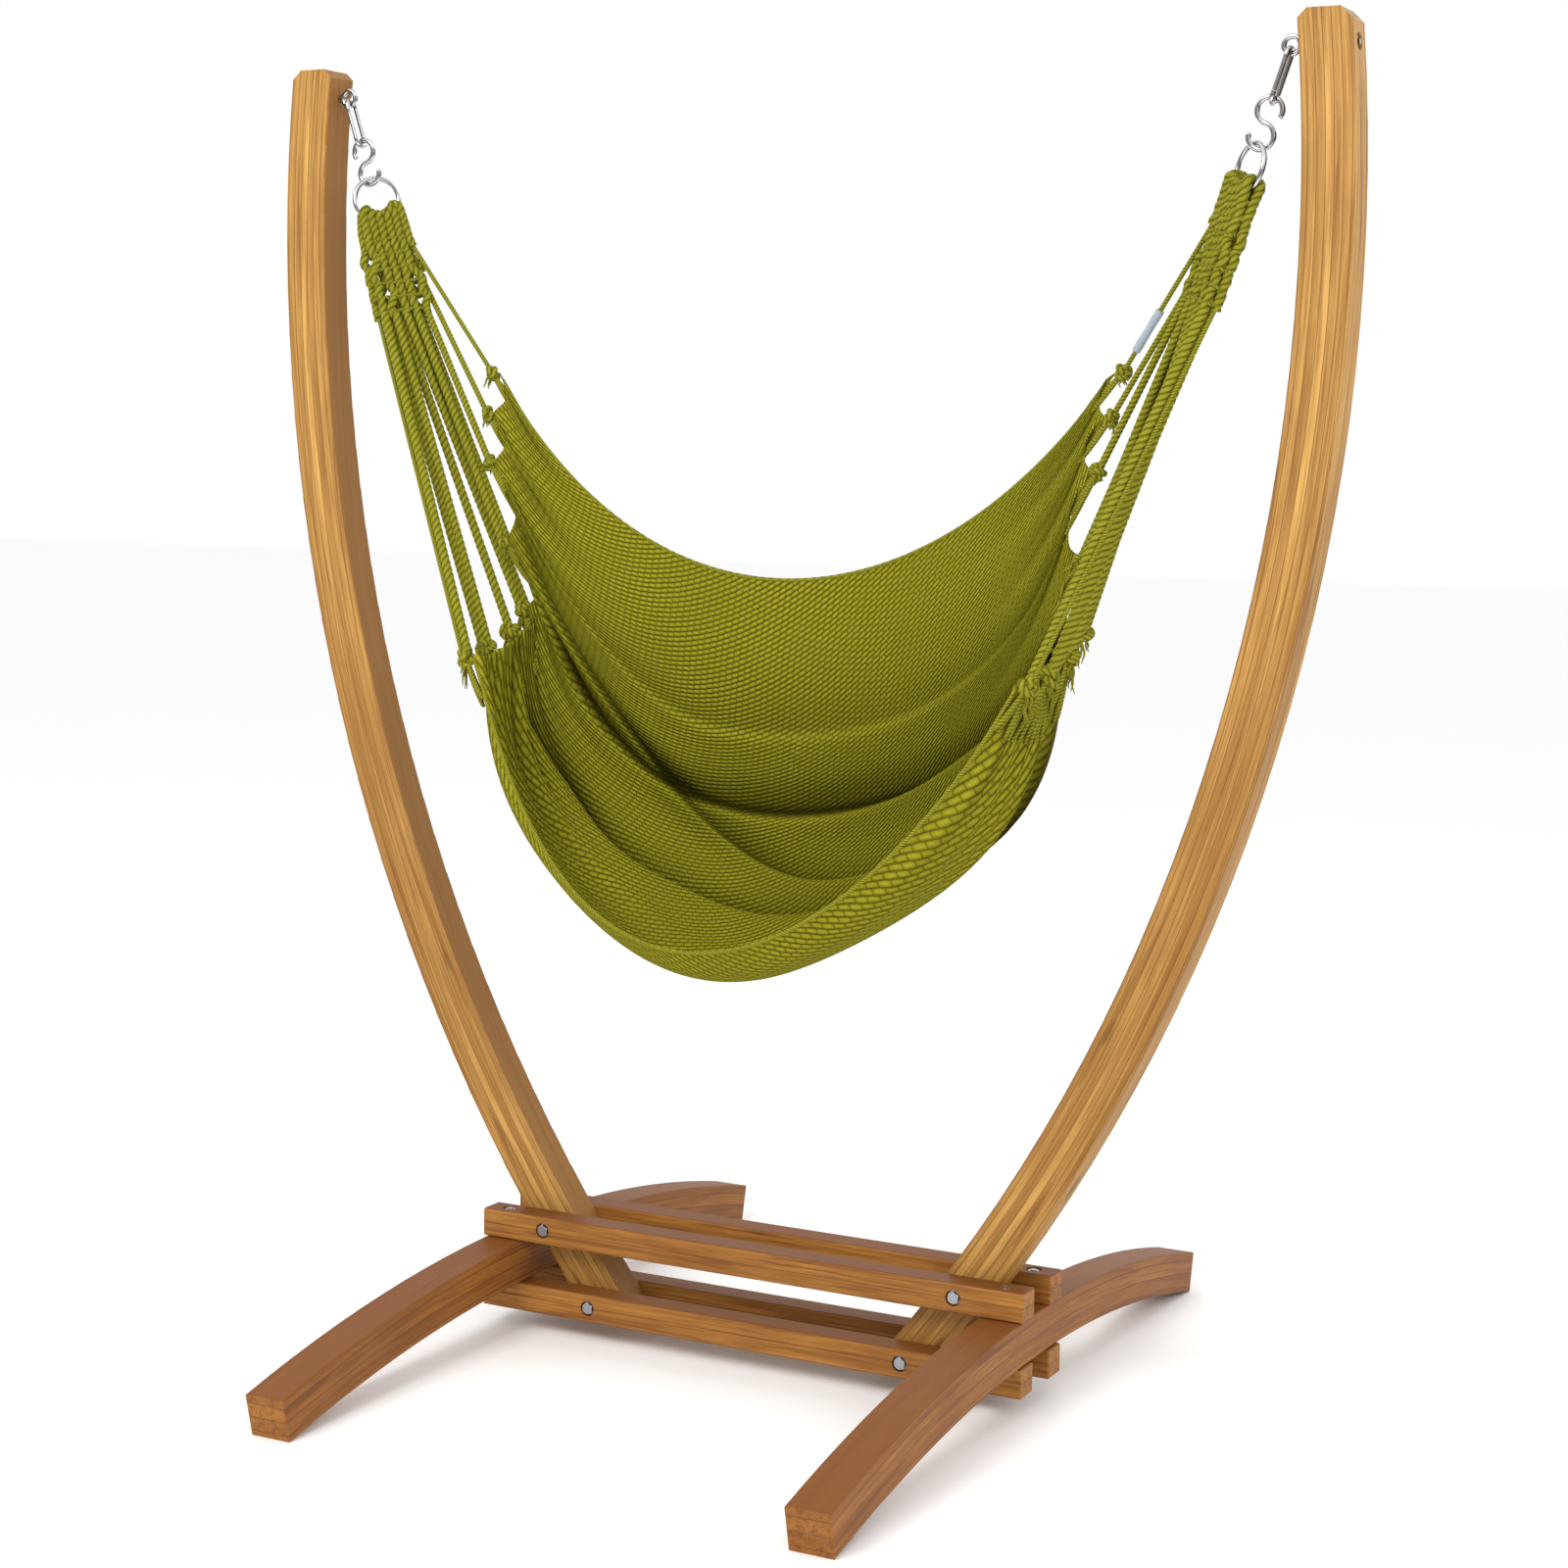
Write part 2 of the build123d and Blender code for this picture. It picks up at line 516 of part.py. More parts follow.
def fabric_points(offset, rows=19, columns=25):
    """Points of the seat, or of the face `offset` from it along its normal: every row is
    a sagging curve from one side edge to the other."""
    v = np.linspace(0, 1, rows)[:, None] * np.ones(columns)
    u = np.linspace(-1, 1, columns) * np.ones((rows, 1))

    def seat(u, v):
        edge = smooth(KNOT_SHARES, KNOTS, v)
        middle = smooth(MIDDLE_SHARES, MIDDLE, v)
        low = np.clip((v - BULGE_FROM) / (1 - BULGE_FROM), 0, 1)
        bulge = 6.8 * BULGE * np.sin(np.pi * low ** 1.5) * u ** 4 * (1 - u ** 2)
        x = u * (edge[..., 0] - EDGE_INSET) + np.sign(u) * bulge
        y = middle[..., 0] + (edge[..., 1] - middle[..., 0]) * u ** 2
        z = middle[..., 1] + (edge[..., 2] - middle[..., 1]) * (0.86 * u ** 2 + 0.14 * u ** 4)
        return np.stack([x, y, z - bulge + RING_CENTRE.Z], axis=-1)

    step = 1e-3
    inside_u, inside_v = np.clip(u, step - 1, 1 - step), np.clip(v, step, 1 - step)
    across = seat(inside_u + step, inside_v) - seat(inside_u - step, inside_v)
    along = seat(inside_u, inside_v + step) - seat(inside_u, inside_v - step)
    normal = np.cross(across, along)
    normal = normal / np.linalg.norm(normal, axis=-1, keepdims=True)
    return seat(u, v) + offset * normal


def seat_fabric():
    """Closed thin shell: two smooth faces through the points, and four narrow edge faces."""
    faces = []
    for offset in (FABRIC_THICK / 2, -FABRIC_THICK / 2):
        grid = [[Vector(*point) for point in row] for row in fabric_points(offset)]
        faces.append(Face.make_surface_from_array_of_points(grid, tol=0.5, min_deg=3, max_deg=3))
    rims = []
    for edge in faces[0].edges():
        facing = min(faces[1].edges(), key=lambda other: ((other @ 0.5) - (edge @ 0.5)).length)
        rims.append(Face.make_surface_from_curves(edge, facing))
    return Solid(Shell([*faces, *rims]))


def label_sleeve():
    """Plain tube on the right back corner's cord."""
    start, end = cord_line(len(CORD_KNOTS) - 1)
    along = (start - end).normalized()
    inner = CORD_DIAMETER + 2 * LINK_GAP
    low = end + along * LABEL_UP
    tube = rod(low, low + along * LABEL_LENGTH, inner + 2 * LABEL_WALL)
    return tube - rod(end, start, inner)


# ---- build ----------------------------------------------------------------------
os.makedirs("parts", exist_ok=True)

post_lines, foot_lines = post_bolt_lines(), foot_bolt_lines()
cutters = [bolt_cutter(start, end) for start, end in post_lines + foot_lines]
right_posts = [bolt_cutter(*line) for line in post_lines if line[0][0] > 0]
right_feet = [bolt_cutter(*line) for line in foot_lines if line[0][0] > 0]

for name, y in (("front", -RAIL_MIDDLE), ("back", RAIL_MIDDLE)):
    save(f"upper_rail_{name}", make_rail(y, UPPER_RAIL_BOTTOM, cutters))
    save(f"lower_rail_{name}", make_rail(y, LOWER_RAIL_BOTTOM, cutters))
save_pair("foot", make_foot(right_feet))
save_pair("post", make_post(right_posts))

for name, lines in (("post", post_lines), ("foot", foot_lines)):
    bolts, washers, nuts = bolt_set(lines)
    save(f"{name}_bolts", *bolts)
    save(f"{name}_bolt_washers", *washers)
    save(f"{name}_bolt_nuts", *nuts)

save_pair("eye_bolt", eye_bolt())
eye_washer, eye_nut = eye_fasteners()
save_pair("eye_washer", eye_washer)
save_pair("eye_nut", eye_nut)

save_pair("snap_link", hang(snap_link()))
save_pair("link_gate", hang(gate()))
save_pair("gate_pin", hang(gate_pin()))
save_pair("s_hook", hang(s_hook()))
save_pair("ring", hang(ring()))

save_pair("woven_head", woven_head())
knots = side_knots()
save("side_knots_right", *knots)
save("side_knots_left", *[mirror(knot, about=Plane.YZ) for knot in knots])
cords = suspension_cords()
save("suspension_cords_right", *cords)
save("suspension_cords_left", *[mirror(cord, about=Plane.YZ) for cord in cords])
save("label_sleeve", label_sleeve())

save("seat_fabric", seat_fabric())
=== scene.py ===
"""Looks for a hammock chair on a bent-wood stand: cloth, cords, knots, wood and metal."""

import math

import bpy
import numpy as np
from mathutils import Matrix, Vector


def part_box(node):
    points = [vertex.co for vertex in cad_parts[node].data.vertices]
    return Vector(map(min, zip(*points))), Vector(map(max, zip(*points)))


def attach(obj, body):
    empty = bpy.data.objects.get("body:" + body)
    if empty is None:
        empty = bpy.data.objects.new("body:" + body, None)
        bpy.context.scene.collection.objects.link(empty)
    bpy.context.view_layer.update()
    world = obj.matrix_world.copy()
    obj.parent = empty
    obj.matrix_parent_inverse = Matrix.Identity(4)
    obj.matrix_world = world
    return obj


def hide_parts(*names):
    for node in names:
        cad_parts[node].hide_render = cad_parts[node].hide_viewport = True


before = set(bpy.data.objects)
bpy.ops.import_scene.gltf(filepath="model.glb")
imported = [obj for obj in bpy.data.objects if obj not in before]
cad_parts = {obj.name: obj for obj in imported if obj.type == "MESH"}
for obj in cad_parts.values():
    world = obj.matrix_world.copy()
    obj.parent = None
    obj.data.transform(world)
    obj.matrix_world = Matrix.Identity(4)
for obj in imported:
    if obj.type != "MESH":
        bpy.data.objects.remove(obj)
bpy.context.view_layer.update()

bl_info = {
    "name": "Hammock Chair on Stand",
    "version": (1, 0, 0),
    "blender": (4, 5, 0),
    "location": "3D View > Sidebar > Hammock",
    "description": "Makes the cloth, cords, knots, wood and metal of a hammock chair on its stand",
    "category": "Add Mesh",
}

SIDES = {"right": 1.0, "left": -1.0}

# Cloth: knots down one side edge, and the middle line from back edge to front lip, in
# metres, with heights counted from the ring's centre down. Shares are of the cloth's
# length from its back edge to its front lip.
KNOTS = np.array([
    (0.547, 0.047, -0.282),
    (0.540, 0.022, -0.349),
    (0.527, 0.008, -0.427),
    (0.502, 0.018, -0.556),
    (0.490, 0.058, -0.667),
    (0.489, 0.014, -0.701),
    (0.487, -0.060, -0.726),
    (0.482, -0.128, -0.735),
])
KNOT_SHARES = np.array([0.0, 0.12, 0.25, 0.45, 0.62, 0.74, 0.87, 1.0])
MIDDLE = np.array([
    (0.026, -0.599),
    (0.055, -0.724),
    (0.088, -0.854),
    (0.110, -0.959),
    (0.092, -1.049),
    (0.030, -1.121),
    (-0.050, -1.174),
    (-0.145, -1.205),
    (-0.222, -1.187),
    (-0.276, -1.142),
])
MIDDLE_SHARES = np.array([0.0, 0.12, 0.25, 0.38, 0.50, 0.62, 0.74, 0.85, 0.93, 1.0])

# Cords of one side, from the outer front one to the inner back one: the knot that each
# ends at, and its thickness in metres.
CORD_KNOTS = [7, 7, 6, 6, 5, 4, 4, 3, 3, 2, 1, 0]
CORD_THICKNESS = [
    0.0070, 0.0155, 0.0155, 0.0150, 0.0150, 0.0150,
    0.0145, 0.0140, 0.0130, 0.0115, 0.0090, 0.0075,
]
CORD_SPACING = 0.0096        # between cords that share a knot
KNOT_RADIUS = 0.011
FRONT_KNOT = 4               # from this knot on, knots are large and their yarns thick

# Woven heads. Depths are from the ring's centre, down the head.
HEAD_TOP = 0.018
HEAD_LENGTH = 0.180
HEAD_END = HEAD_TOP + HEAD_LENGTH
HEAD_BOTTOM_WIDTH = 0.094
HEAD_MARGIN = 0.015          # the head's width beyond the middles of its outer cords
HEAD_LEAN = math.radians(18.0)
HEAD_FORWARD = math.radians(4.0)
WARP_THICKNESS = 0.0152
WARP_LAYER = 0.0056          # middle of a cord from the head's middle plane
WARP_START = 0.052           # depth where the loops round the ring become the warp
WEFT_ROWS = 7
WEFT_FROM = 0.047            # depth of the first weft row
WEFT_PITCH = 0.0245
WEFT_THICKNESS = 0.0060
# Small holes down the edges of a head: the cord that each follows, and its depth.
EYELETS = [(0, 0.102), (1, 0.132), (2, 0.162), (3, 0.190), (9, 0.120), (8, 0.146), (8, 0.176)]
EYELET_PUSH = 0.0068         # how far the cords beside a hole are pushed aside
EYELET_REACH = 0.009         # and over what depth
# Cords that leave a head at its edge before its lower end, and the depth where they do.
EARLY = {11: 0.084, 10: 0.124}

# Hanging hardware, as the CAD parts have it.
HANG_LEAN = math.radians(18.4)
RING_RADIUS = 0.036
RING_TURN = math.radians(43.5)
LOOP_RADIUS = 0.0112         # middle of a cord round the middle of the ring's wire
LOOP_SPREAD = 2.0            # outermost loop's place round the ring's wire, in radians
LABEL_UP = 0.030             # label's lower end above the knot
LABEL_LENGTH = 0.070

# Bends of the wood.
POST_BEND = 2.807                   # radius of a post's outer face, in metres
POST_BEND_HEIGHT = 1.763 / 2.05     # level of its widest point, as a share of the height
FOOT_BEND = 3.046 / 0.710           # radius of a foot's top, in halves of its length
FOOT_LAYER = 0.0228                 # thickness of one glued layer of a foot


def ring_centre(side):
    """Centre of a side's ring, from its node's box."""
    low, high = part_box(f"ring_{side}")
    return (np.array(low) + np.array(high)) / 2


RING_HEIGHT = ring_centre("right")[2]


# ---- sizes and colours that a user would change -----------------------------------
class HammockClothSettings(bpy.types.PropertyGroup):
    colour: bpy.props.FloatVectorProperty(
        name="Cloth colour", description="Colour of the yarn in light",
        subtype="COLOR", size=3, default=(0.265, 0.245, 0.016), min=0.0, max=1.0)
    # Painted shade colour: deep between the ribs and in the crease valleys, also the dark fibres.
    groove_shade_colour: bpy.props.FloatVectorProperty(
        name="Groove colour", description="Colour deep between the ribs",
        subtype="COLOR", size=3, default=(0.085, 0.080, 0.001), min=0.0, max=1.0)
    rib: bpy.props.FloatProperty(
        name="Rib pitch", description="Distance from one twill rib to the next",
        unit="LENGTH", default=0.0078, min=0.001, max=0.05)
    slant: bpy.props.FloatProperty(
        name="Rib slant", description="Turn of the ribs from the cloth's side-to-side direction",
        subtype="ANGLE", default=math.radians(24), min=-1.57, max=1.57)
    thickness: bpy.props.FloatProperty(
        name="Cloth thickness", description="Thickness of the woven cloth",
        unit="LENGTH", default=0.0022, min=0.0005, max=0.01)
    bulge: bpy.props.FloatProperty(
        name="Side bulge", description="How far the lower front sides swell out and down",
        unit="LENGTH", default=0.040, min=0.0, max=0.1)
    edge_inset: bpy.props.FloatProperty(
        name="Edge inset", description="Cloth edge inside the knots, bridged by yarns",
        unit="LENGTH", default=0.024, min=0.0, max=0.1)


class HammockCordSettings(bpy.types.PropertyGroup):
    colour: bpy.props.FloatVectorProperty(
        name="Cord colour", description="Colour of the twisted cords",
        subtype="COLOR", size=3, default=(0.235, 0.222, 0.018), min=0.0, max=1.0)
    lay_length: bpy.props.FloatProperty(
        name="Lay length", description="Length of one turn of a strand, in cord diameters",
        default=2.1, min=1.0, max=10.0)
    strands: bpy.props.IntProperty(
        name="Strands", description="Strands twisted together in a cord", default=3, min=2, max=6)


class HammockWoodSettings(bpy.types.PropertyGroup):
    post_colour: bpy.props.FloatVectorProperty(
        name="Post colour", description="Colour of the posts' pale laminations",
        subtype="COLOR", size=3, default=(0.540, 0.300, 0.078), min=0.0, max=1.0)
    # Also used as the painted shade on the posts' inner faces.
    post_dark: bpy.props.FloatVectorProperty(
        name="Post dark", description="Colour of the posts' dark streaks and inner faces",
        subtype="COLOR", size=3, default=(0.235, 0.098, 0.018), min=0.0, max=1.0)
    rail_colour: bpy.props.FloatVectorProperty(
        name="Rail colour", description="Colour of the rails' pale layer",
        subtype="COLOR", size=3, default=(0.400, 0.178, 0.034), min=0.0, max=1.0)
    foot_colour: bpy.props.FloatVectorProperty(
        name="Foot colour", description="Colour of the feet",
        subtype="COLOR", size=3, default=(0.335, 0.132, 0.024), min=0.0, max=1.0)
    foot_dark: bpy.props.FloatVectorProperty(
        name="Foot dark", description="Colour of dark streaks and top faces of feet and rails",
        subtype="COLOR", size=3, default=(0.180, 0.060, 0.012), min=0.0, max=1.0)
    lamination: bpy.props.FloatProperty(
        name="Lamination", description="Thickness of one glued layer of the posts",
        unit="LENGTH", default=0.0128, min=0.002, max=0.1)


class HammockStageSettings(bpy.types.PropertyGroup):
    floor_colour: bpy.props.FloatVectorProperty(
        name="Floor colour", description="Colour of the floor round the object",
        subtype="COLOR", size=3, default=(0.96, 0.96, 0.96), min=0.0, max=1.0)
    floor_size: bpy.props.FloatProperty(
        name="Floor size", description="Width of the floor plane",
        unit="LENGTH", default=60.0, min=5.0, max=200.0)
    lens: bpy.props.FloatProperty(
        name="Lens", description="Focal length of the camera, in millimetres",
        default=65.04, min=10.0, max=300.0)


# ---- curves and surfaces ------------------------------------------------------------
def smooth_through(shares, points, at):
    """Cubic pieces through points at shares, whose slope at each point is the mean of the
    slopes beside it: Hermite basis times end points and end slopes, for a whole array."""
    slopes = np.gradient(points, shares, axis=0)
    k = np.clip(np.searchsorted(shares, at, side="right") - 1, 0, len(shares) - 2)
    span = (shares[k + 1] - shares[k])[..., None]
    t = (at - shares[k])[..., None] / span
    rise = points[k] * (1 + 2 * t) * (1 - t) ** 2 + points[k + 1] * t ** 2 * (3 - 2 * t)
    return rise + span * (slopes[k] * t * (1 - t) ** 2 - slopes[k + 1] * t ** 2 * (1 - t))


def unit(vectors):
    """Vectors divided by their length."""
    return vectors / np.maximum(np.linalg.norm(vectors, axis=-1, keepdims=True), 1e-12)


def put_mesh(name, points, faces, corner_uv=None, smooth=True):
    """New object from a vertex array and its faces, with an optional UV per face corner."""
    mesh = bpy.data.meshes.new(name)
    mesh.from_pydata(points.reshape(-1, 3).tolist(), [], faces)
    if corner_uv is not None:
        layer = mesh.uv_layers.new(name="UVMap")
        layer.data.foreach_set("uv", corner_uv.astype(np.float32).ravel())
    mesh.polygons.foreach_set("use_smooth", np.full(len(mesh.polygons), smooth))
    mesh.update()
    piece = bpy.data.objects.new(name, mesh)
    bpy.context.scene.collection.objects.link(piece)
    return piece


def grid_faces(rows, columns, wrap_rows=False, wrap_columns=False, first=0):
    """Quads of a rows by columns grid of vertices, joined round where it wraps."""
    r = np.arange(rows if wrap_rows else rows - 1)[:, None]
    c = np.arange(columns if wrap_columns else columns - 1)[None, :]
    r2, c2 = (r + 1) % rows, (c + 1) % columns
    quads = [r * columns + c, r * columns + c2, r2 * columns + c2, r2 * columns + c]
    return np.stack(np.broadcast_arrays(*quads), axis=-1).reshape(-1, 4) + first


def tube_surface(path, radius, reference, sides=12, closed=False):
    """Skin round a path: every ring is centre plus radius times (cos a times the normal plus
    sin a times the binormal), where the normal is the reference direction made square to
    the path. Returns points (rings, sides, 3)."""
    if closed:
        ahead, behind = np.roll(path, -1, axis=0), np.roll(path, 1, axis=0)
        tangent = unit(ahead - behind)
    else:
        tangent = unit(np.gradient(path, axis=0))
    reference = np.broadcast_to(np.asarray(reference, dtype=float), path.shape)
    normal = unit(reference - tangent * (reference * tangent).sum(-1, keepdims=True))
    binormal = np.cross(tangent, normal)
    angle = np.linspace(0, 2 * np.pi, sides, endpoint=False)
    radius = np.broadcast_to(radius, (len(path), sides))
    cosine, sine = np.cos(angle)[None, :, None], np.sin(angle)[None, :, None]
    around = cosine * normal[:, None] + sine * binormal[:, None]
    return path[:, None] + radius[..., None] * around


class Skin:
    """Collects laid cords into one mesh: vertices, quads, end faces and a UV map whose
    first part is metres along the cord and whose second counts strands."""

    def __init__(self):
        self.points, self.faces, self.uv, self.count = [], [], [], 0

    def add_cord(self, path, thickness, reference, sides=16, strands=3, lay=2.1, phase=0.0,
                 closed=False, hollow=0.28):
        """Laid cord round a path: at strand count c, the radius is half the thickness times
        1 - hollow + hollow * sqrt(|cos(pi c)|), where c grows round the cord and falls by one
        strand in each share of the lay along it."""
        ends = np.concatenate([path, path[:1]]) if closed else path
        lengths = np.concatenate([[0.0], np.cumsum(np.linalg.norm(np.diff(ends, axis=0), axis=-1))])
        turns = lengths / (lay * np.max(thickness))
        if closed:
            turns = turns * max(1, round(turns[-1])) / turns[-1]
        share = np.arange(sides + 1) / sides
        strand = strands * (share[None, :] - turns[:, None] - phase)
        rings = len(path)
        lobes = np.sqrt(np.abs(np.cos(np.pi * strand[:rings, :sides])))
        radius = np.reshape(thickness, (-1, 1)) / 2 * (1 - hollow + hollow * lobes)
        points = tube_surface(path, radius, reference, sides, closed)
        self.points.append(points.reshape(-1, 3))
        self.faces += grid_faces(rings, sides, closed, True, self.count)[:, ::-1].tolist()
        r = np.arange(rings if closed else rings - 1)[:, None]
        c = np.arange(sides)[None, :]
        corners = [(r + 1, c), (r + 1, c + 1), (r, c + 1), (r, c)]
        uv = [np.stack(np.broadcast_arrays(lengths[a], strand[a, b]), axis=-1) for a, b in corners]
        self.uv.append(np.stack(uv, axis=2).reshape(-1, 2))
        if not closed:
            last = self.count + (rings - 1) * sides
            self.faces.append(list(range(self.count, self.count + sides)))
            self.faces.append(list(range(last + sides - 1, last - 1, -1)))
            self.uv.append(np.zeros((2 * sides, 2)))
        self.count += rings * sides

    def make(self, name):
        """One object of all the cords."""
        return put_mesh(name, np.concatenate(self.points), self.faces, np.concatenate(self.uv))


def route_points(points):
    """Points of the straight-sided NURBS spline whose control points are the given route."""
    curve = bpy.data.curves.new("route", "CURVE")
    curve.dimensions = "3D"
    curve.resolution_u = 24
    spline = curve.splines.new("NURBS")
    spline.points.add(len(points) - 1)
    for target, point in zip(spline.points, points):
        target.co = (*point, 1.0)
    spline.order_u = 2
    spline.use_endpoint_u = True
    holder = bpy.data.objects.new("route", curve)
    mesh = bpy.data.meshes.new_from_object(holder)
    found = np.zeros(len(mesh.vertices) * 3)
    mesh.vertices.foreach_get("co", found)
    bpy.data.objects.remove(holder)
    bpy.data.curves.remove(curve)
    bpy.data.meshes.remove(mesh)
    return found.reshape(-1, 3)


def evenly(path, step):
    """The path resampled at about equal steps."""
    lengths = np.concatenate([[0.0], np.cumsum(np.linalg.norm(np.diff(path, axis=0), axis=-1))])
    at = np.linspace(0, lengths[-1], max(3, int(round(lengths[-1] / step)) + 1))
    return np.stack([np.interp(at, lengths, path[:, k]) for k in range(3)], axis=-1)


def mirrored(points, side):
    """Points of the right side carried to the given side."""
    return points * np.array([SIDES[side], 1.0, 1.0])


# ---- the chair's shape --------------------------------------------------------------
def head_axes():
    """Across, down and outward unit vectors of the right woven head."""
    across = np.array([-math.cos(RING_TURN), math.sin(RING_TURN), 0.0])
    down = unit(np.array([-math.sin(HEAD_LEAN), -math.sin(HEAD_FORWARD), -math.cos(HEAD_LEAN)]))
    across = unit(across - down * across.dot(down))
    return across, down, np.cross(across, down)


def knot_places():
    """The knots of the right side."""
    return KNOTS + np.array([0.0, 0.0, RING_HEIGHT])


def warp_place(order, depth):
    """Place of a warp cord across the head: twelve spread evenly near the ring, ten at the
    lower end, with a smooth step between the two."""
    top, low = RING_RADIUS * 1.9, HEAD_BOTTOM_WIDTH - HEAD_MARGIN
    wide = top + (low - top) * depth / HEAD_END
    t = np.clip((depth - 0.06) / 0.09, 0, 1)
    fewer = t * t * (3 - 2 * t)
    return wide * ((order - 5.5) / 11 * (1 - fewer) + (order - 4.5) / 9 * fewer)


def cord_ends():
    """Start and end of each cord of the right side, from inside the head to its knot."""
    across, down, outward = head_axes()
    centre, knots = ring_centre("right"), knot_places()
    ends = []
    for order, index in enumerate(CORD_KNOTS):
        depth = EARLY.get(order, HEAD_END - 0.004)
        layer = WARP_LAYER if order % 2 else -WARP_LAYER
        start = centre + across * warp_place(order, depth) + down * depth + outward * layer
        sharing = [k for k, knot in enumerate(CORD_KNOTS) if knot == index]
        offset = (sharing.index(order) - (len(sharing) - 1) / 2) * CORD_SPACING
        along = unit(knots[index] - start)
        end = knots[index] + unit(across - along * across.dot(along)) * offset
        ends.append((start, end - unit(end - start) * KNOT_RADIUS * 0.6))
    return ends


def gathering(v):
    """Knot count at share v: 0 at the back corner's knot, 1 at the next, and so on."""
    return np.interp(v, KNOT_SHARES, np.arange(len(KNOT_SHARES)))


def seat(u, v, bulge, inset):
    """Base shape of the cloth: row v hangs from side edge to side edge as middle + (edge -
    middle) times u squared (0.86) and to the fourth (0.14); below, the sides swell out.
    The side edges reach to each knot and hang back by up to 1.4 times the inset between."""
    edge = smooth_through(KNOT_SHARES, KNOTS, v)
    middle = smooth_through(MIDDLE_SHARES, MIDDLE, v)
    t = np.clip((v - 0.45) / 0.55, 0, 1)
    swell = 6.8 * bulge * np.sin(np.pi * t ** 1.5) * u ** 4 * (1 - u ** 2)
    back = inset * (0.40 + np.abs(np.sin(np.pi * gathering(v))) * np.abs(u) ** 6)
    x = u * (edge[..., 0] - back) + np.sign(u) * swell
    y = middle[..., 0] + (edge[..., 1] - middle[..., 0]) * u ** 2
    z = middle[..., 1] + (edge[..., 2] - middle[..., 1]) * (0.86 * u ** 2 + 0.14 * u ** 4)
    return np.stack([x, y, z - swell + RING_HEIGHT], axis=-1)


# Creases: places (u, v) along the line, height of the fold below it, depth of the valley
# above it, and reach of both, as shares of the cloth's length.
CREASES = [
    ([(-1.0, 0.47), (-0.83, 0.505), (-0.53, 0.487), (-0.27, 0.44), (0.08, 0.405),
      (0.35, 0.415), (0.71, 0.485), (1.0, 0.60)], 0.022, 0.026, 0.070, 0.055),
    ([(-1.0, 0.40), (-0.5, 0.463), (-0.17, 0.515), (0.10, 0.55), (0.30, 0.57), (1.0, 0.66)],
     0.015, 0.017, 0.045, 0.040),
    ([(-1.0, 0.775), (-0.76, 0.69), (-0.56, 0.695), (-0.31, 0.665), (0.11, 0.652), (1.0, 0.74)],
     0.024, 0.027, 0.060, 0.045),
    ([(-1.0, 0.29), (-0.5, 0.30), (0.0, 0.245), (0.5, 0.27), (1.0, 0.36)],
     0.005, 0.006, 0.055, 0.050),
]


def creases(u, v):
    """Height of the creases, and how deep in a valley each place is, from 0 to 1, which is
    painted as shade into the cloth's colour. Over a crease line at distance t: fold *
    exp(-(t/reach)^2) below it, -valley * exp(-(t/reach)^2) above it, joined by a steep step
    of half a hyperbolic tangent."""
    height, shade = np.zeros_like(u), np.zeros_like(u)
    for places, fold, valley, below, above in CREASES:
        at, share = np.array(places).T
        t = v - smooth_through(at, share[:, None], u)[..., 0]
        low = 0.5 + 0.5 * np.tanh(t / 0.0055)
        wide, narrow = np.exp(-(t / above) ** 2), np.exp(-(t / 0.016) ** 2)
        height += low * fold * np.exp(-(t / below) ** 2) - (1 - low) * valley * wide
        shade += valley / 0.021 * (1 - low) * (0.55 * wide + 0.45 * narrow)
    return height, np.clip(shade, 0, 1)


def pleats(u, v):
    """Height of the pleats that run into the knots, highest in line with each knot, and how
    deep between them each place is, for painted shade between the pleats. They reach further
    in along the front of the seat."""
    start = 0.55 - 0.40 * np.clip((v - 0.55) / 0.15, 0, 1)
    gather = np.clip((np.abs(u) - start) / (1 - start), 0, 1) ** 1.6
    knots = gathering(v) + 0.06 * np.sin(5 * u)
    wave = np.cos(2 * np.pi * knots)
    fine = np.cos(2 * np.pi * (3 * knots + 0.8 * u))
    height = gather * (0.010 * wave + 0.0035 * fine) * (0.45 + 0.55 * v)
    return height, gather * np.clip(-0.75 * wave - 0.25 * fine, 0, 1) ** 2


def folds(u, v):
    """Height of all folds over the base shape, in metres, and their painted shade from 0 to 1."""
    crease_height, crease_shade = creases(u, v)
    pleat_height, pleat_shade = pleats(u, v)
    slow = 0.004 * np.exp(-((v - 0.13 + 0.05 * u) / 0.06) ** 2) * np.cos(3.1 * u)
    shade = np.clip(crease_shade * (1 - 0.6 * u ** 8) + 0.75 * pleat_shade, 0, 1)
    return crease_height * (1 - 0.35 * u ** 2) * (1 - u ** 12) + pleat_height + slow, shade


def seat_with_folds(u, v, settings):
    """The cloth's middle face: base shape plus folds along its own normal."""
    step = 1e-3
    inner_u, inner_v = np.clip(u, step - 1, 1 - step), np.clip(v, step, 1 - step)

    def shape(across, along):
        return seat(across, along, settings.bulge, settings.edge_inset)

    across = shape(inner_u + step, inner_v) - shape(inner_u - step, inner_v)
    along = shape(inner_u, inner_v + step) - shape(inner_u, inner_v - step)
    normal = unit(np.cross(along, across))
    return shape(u, v) + folds(u, v)[0][..., None] * normal


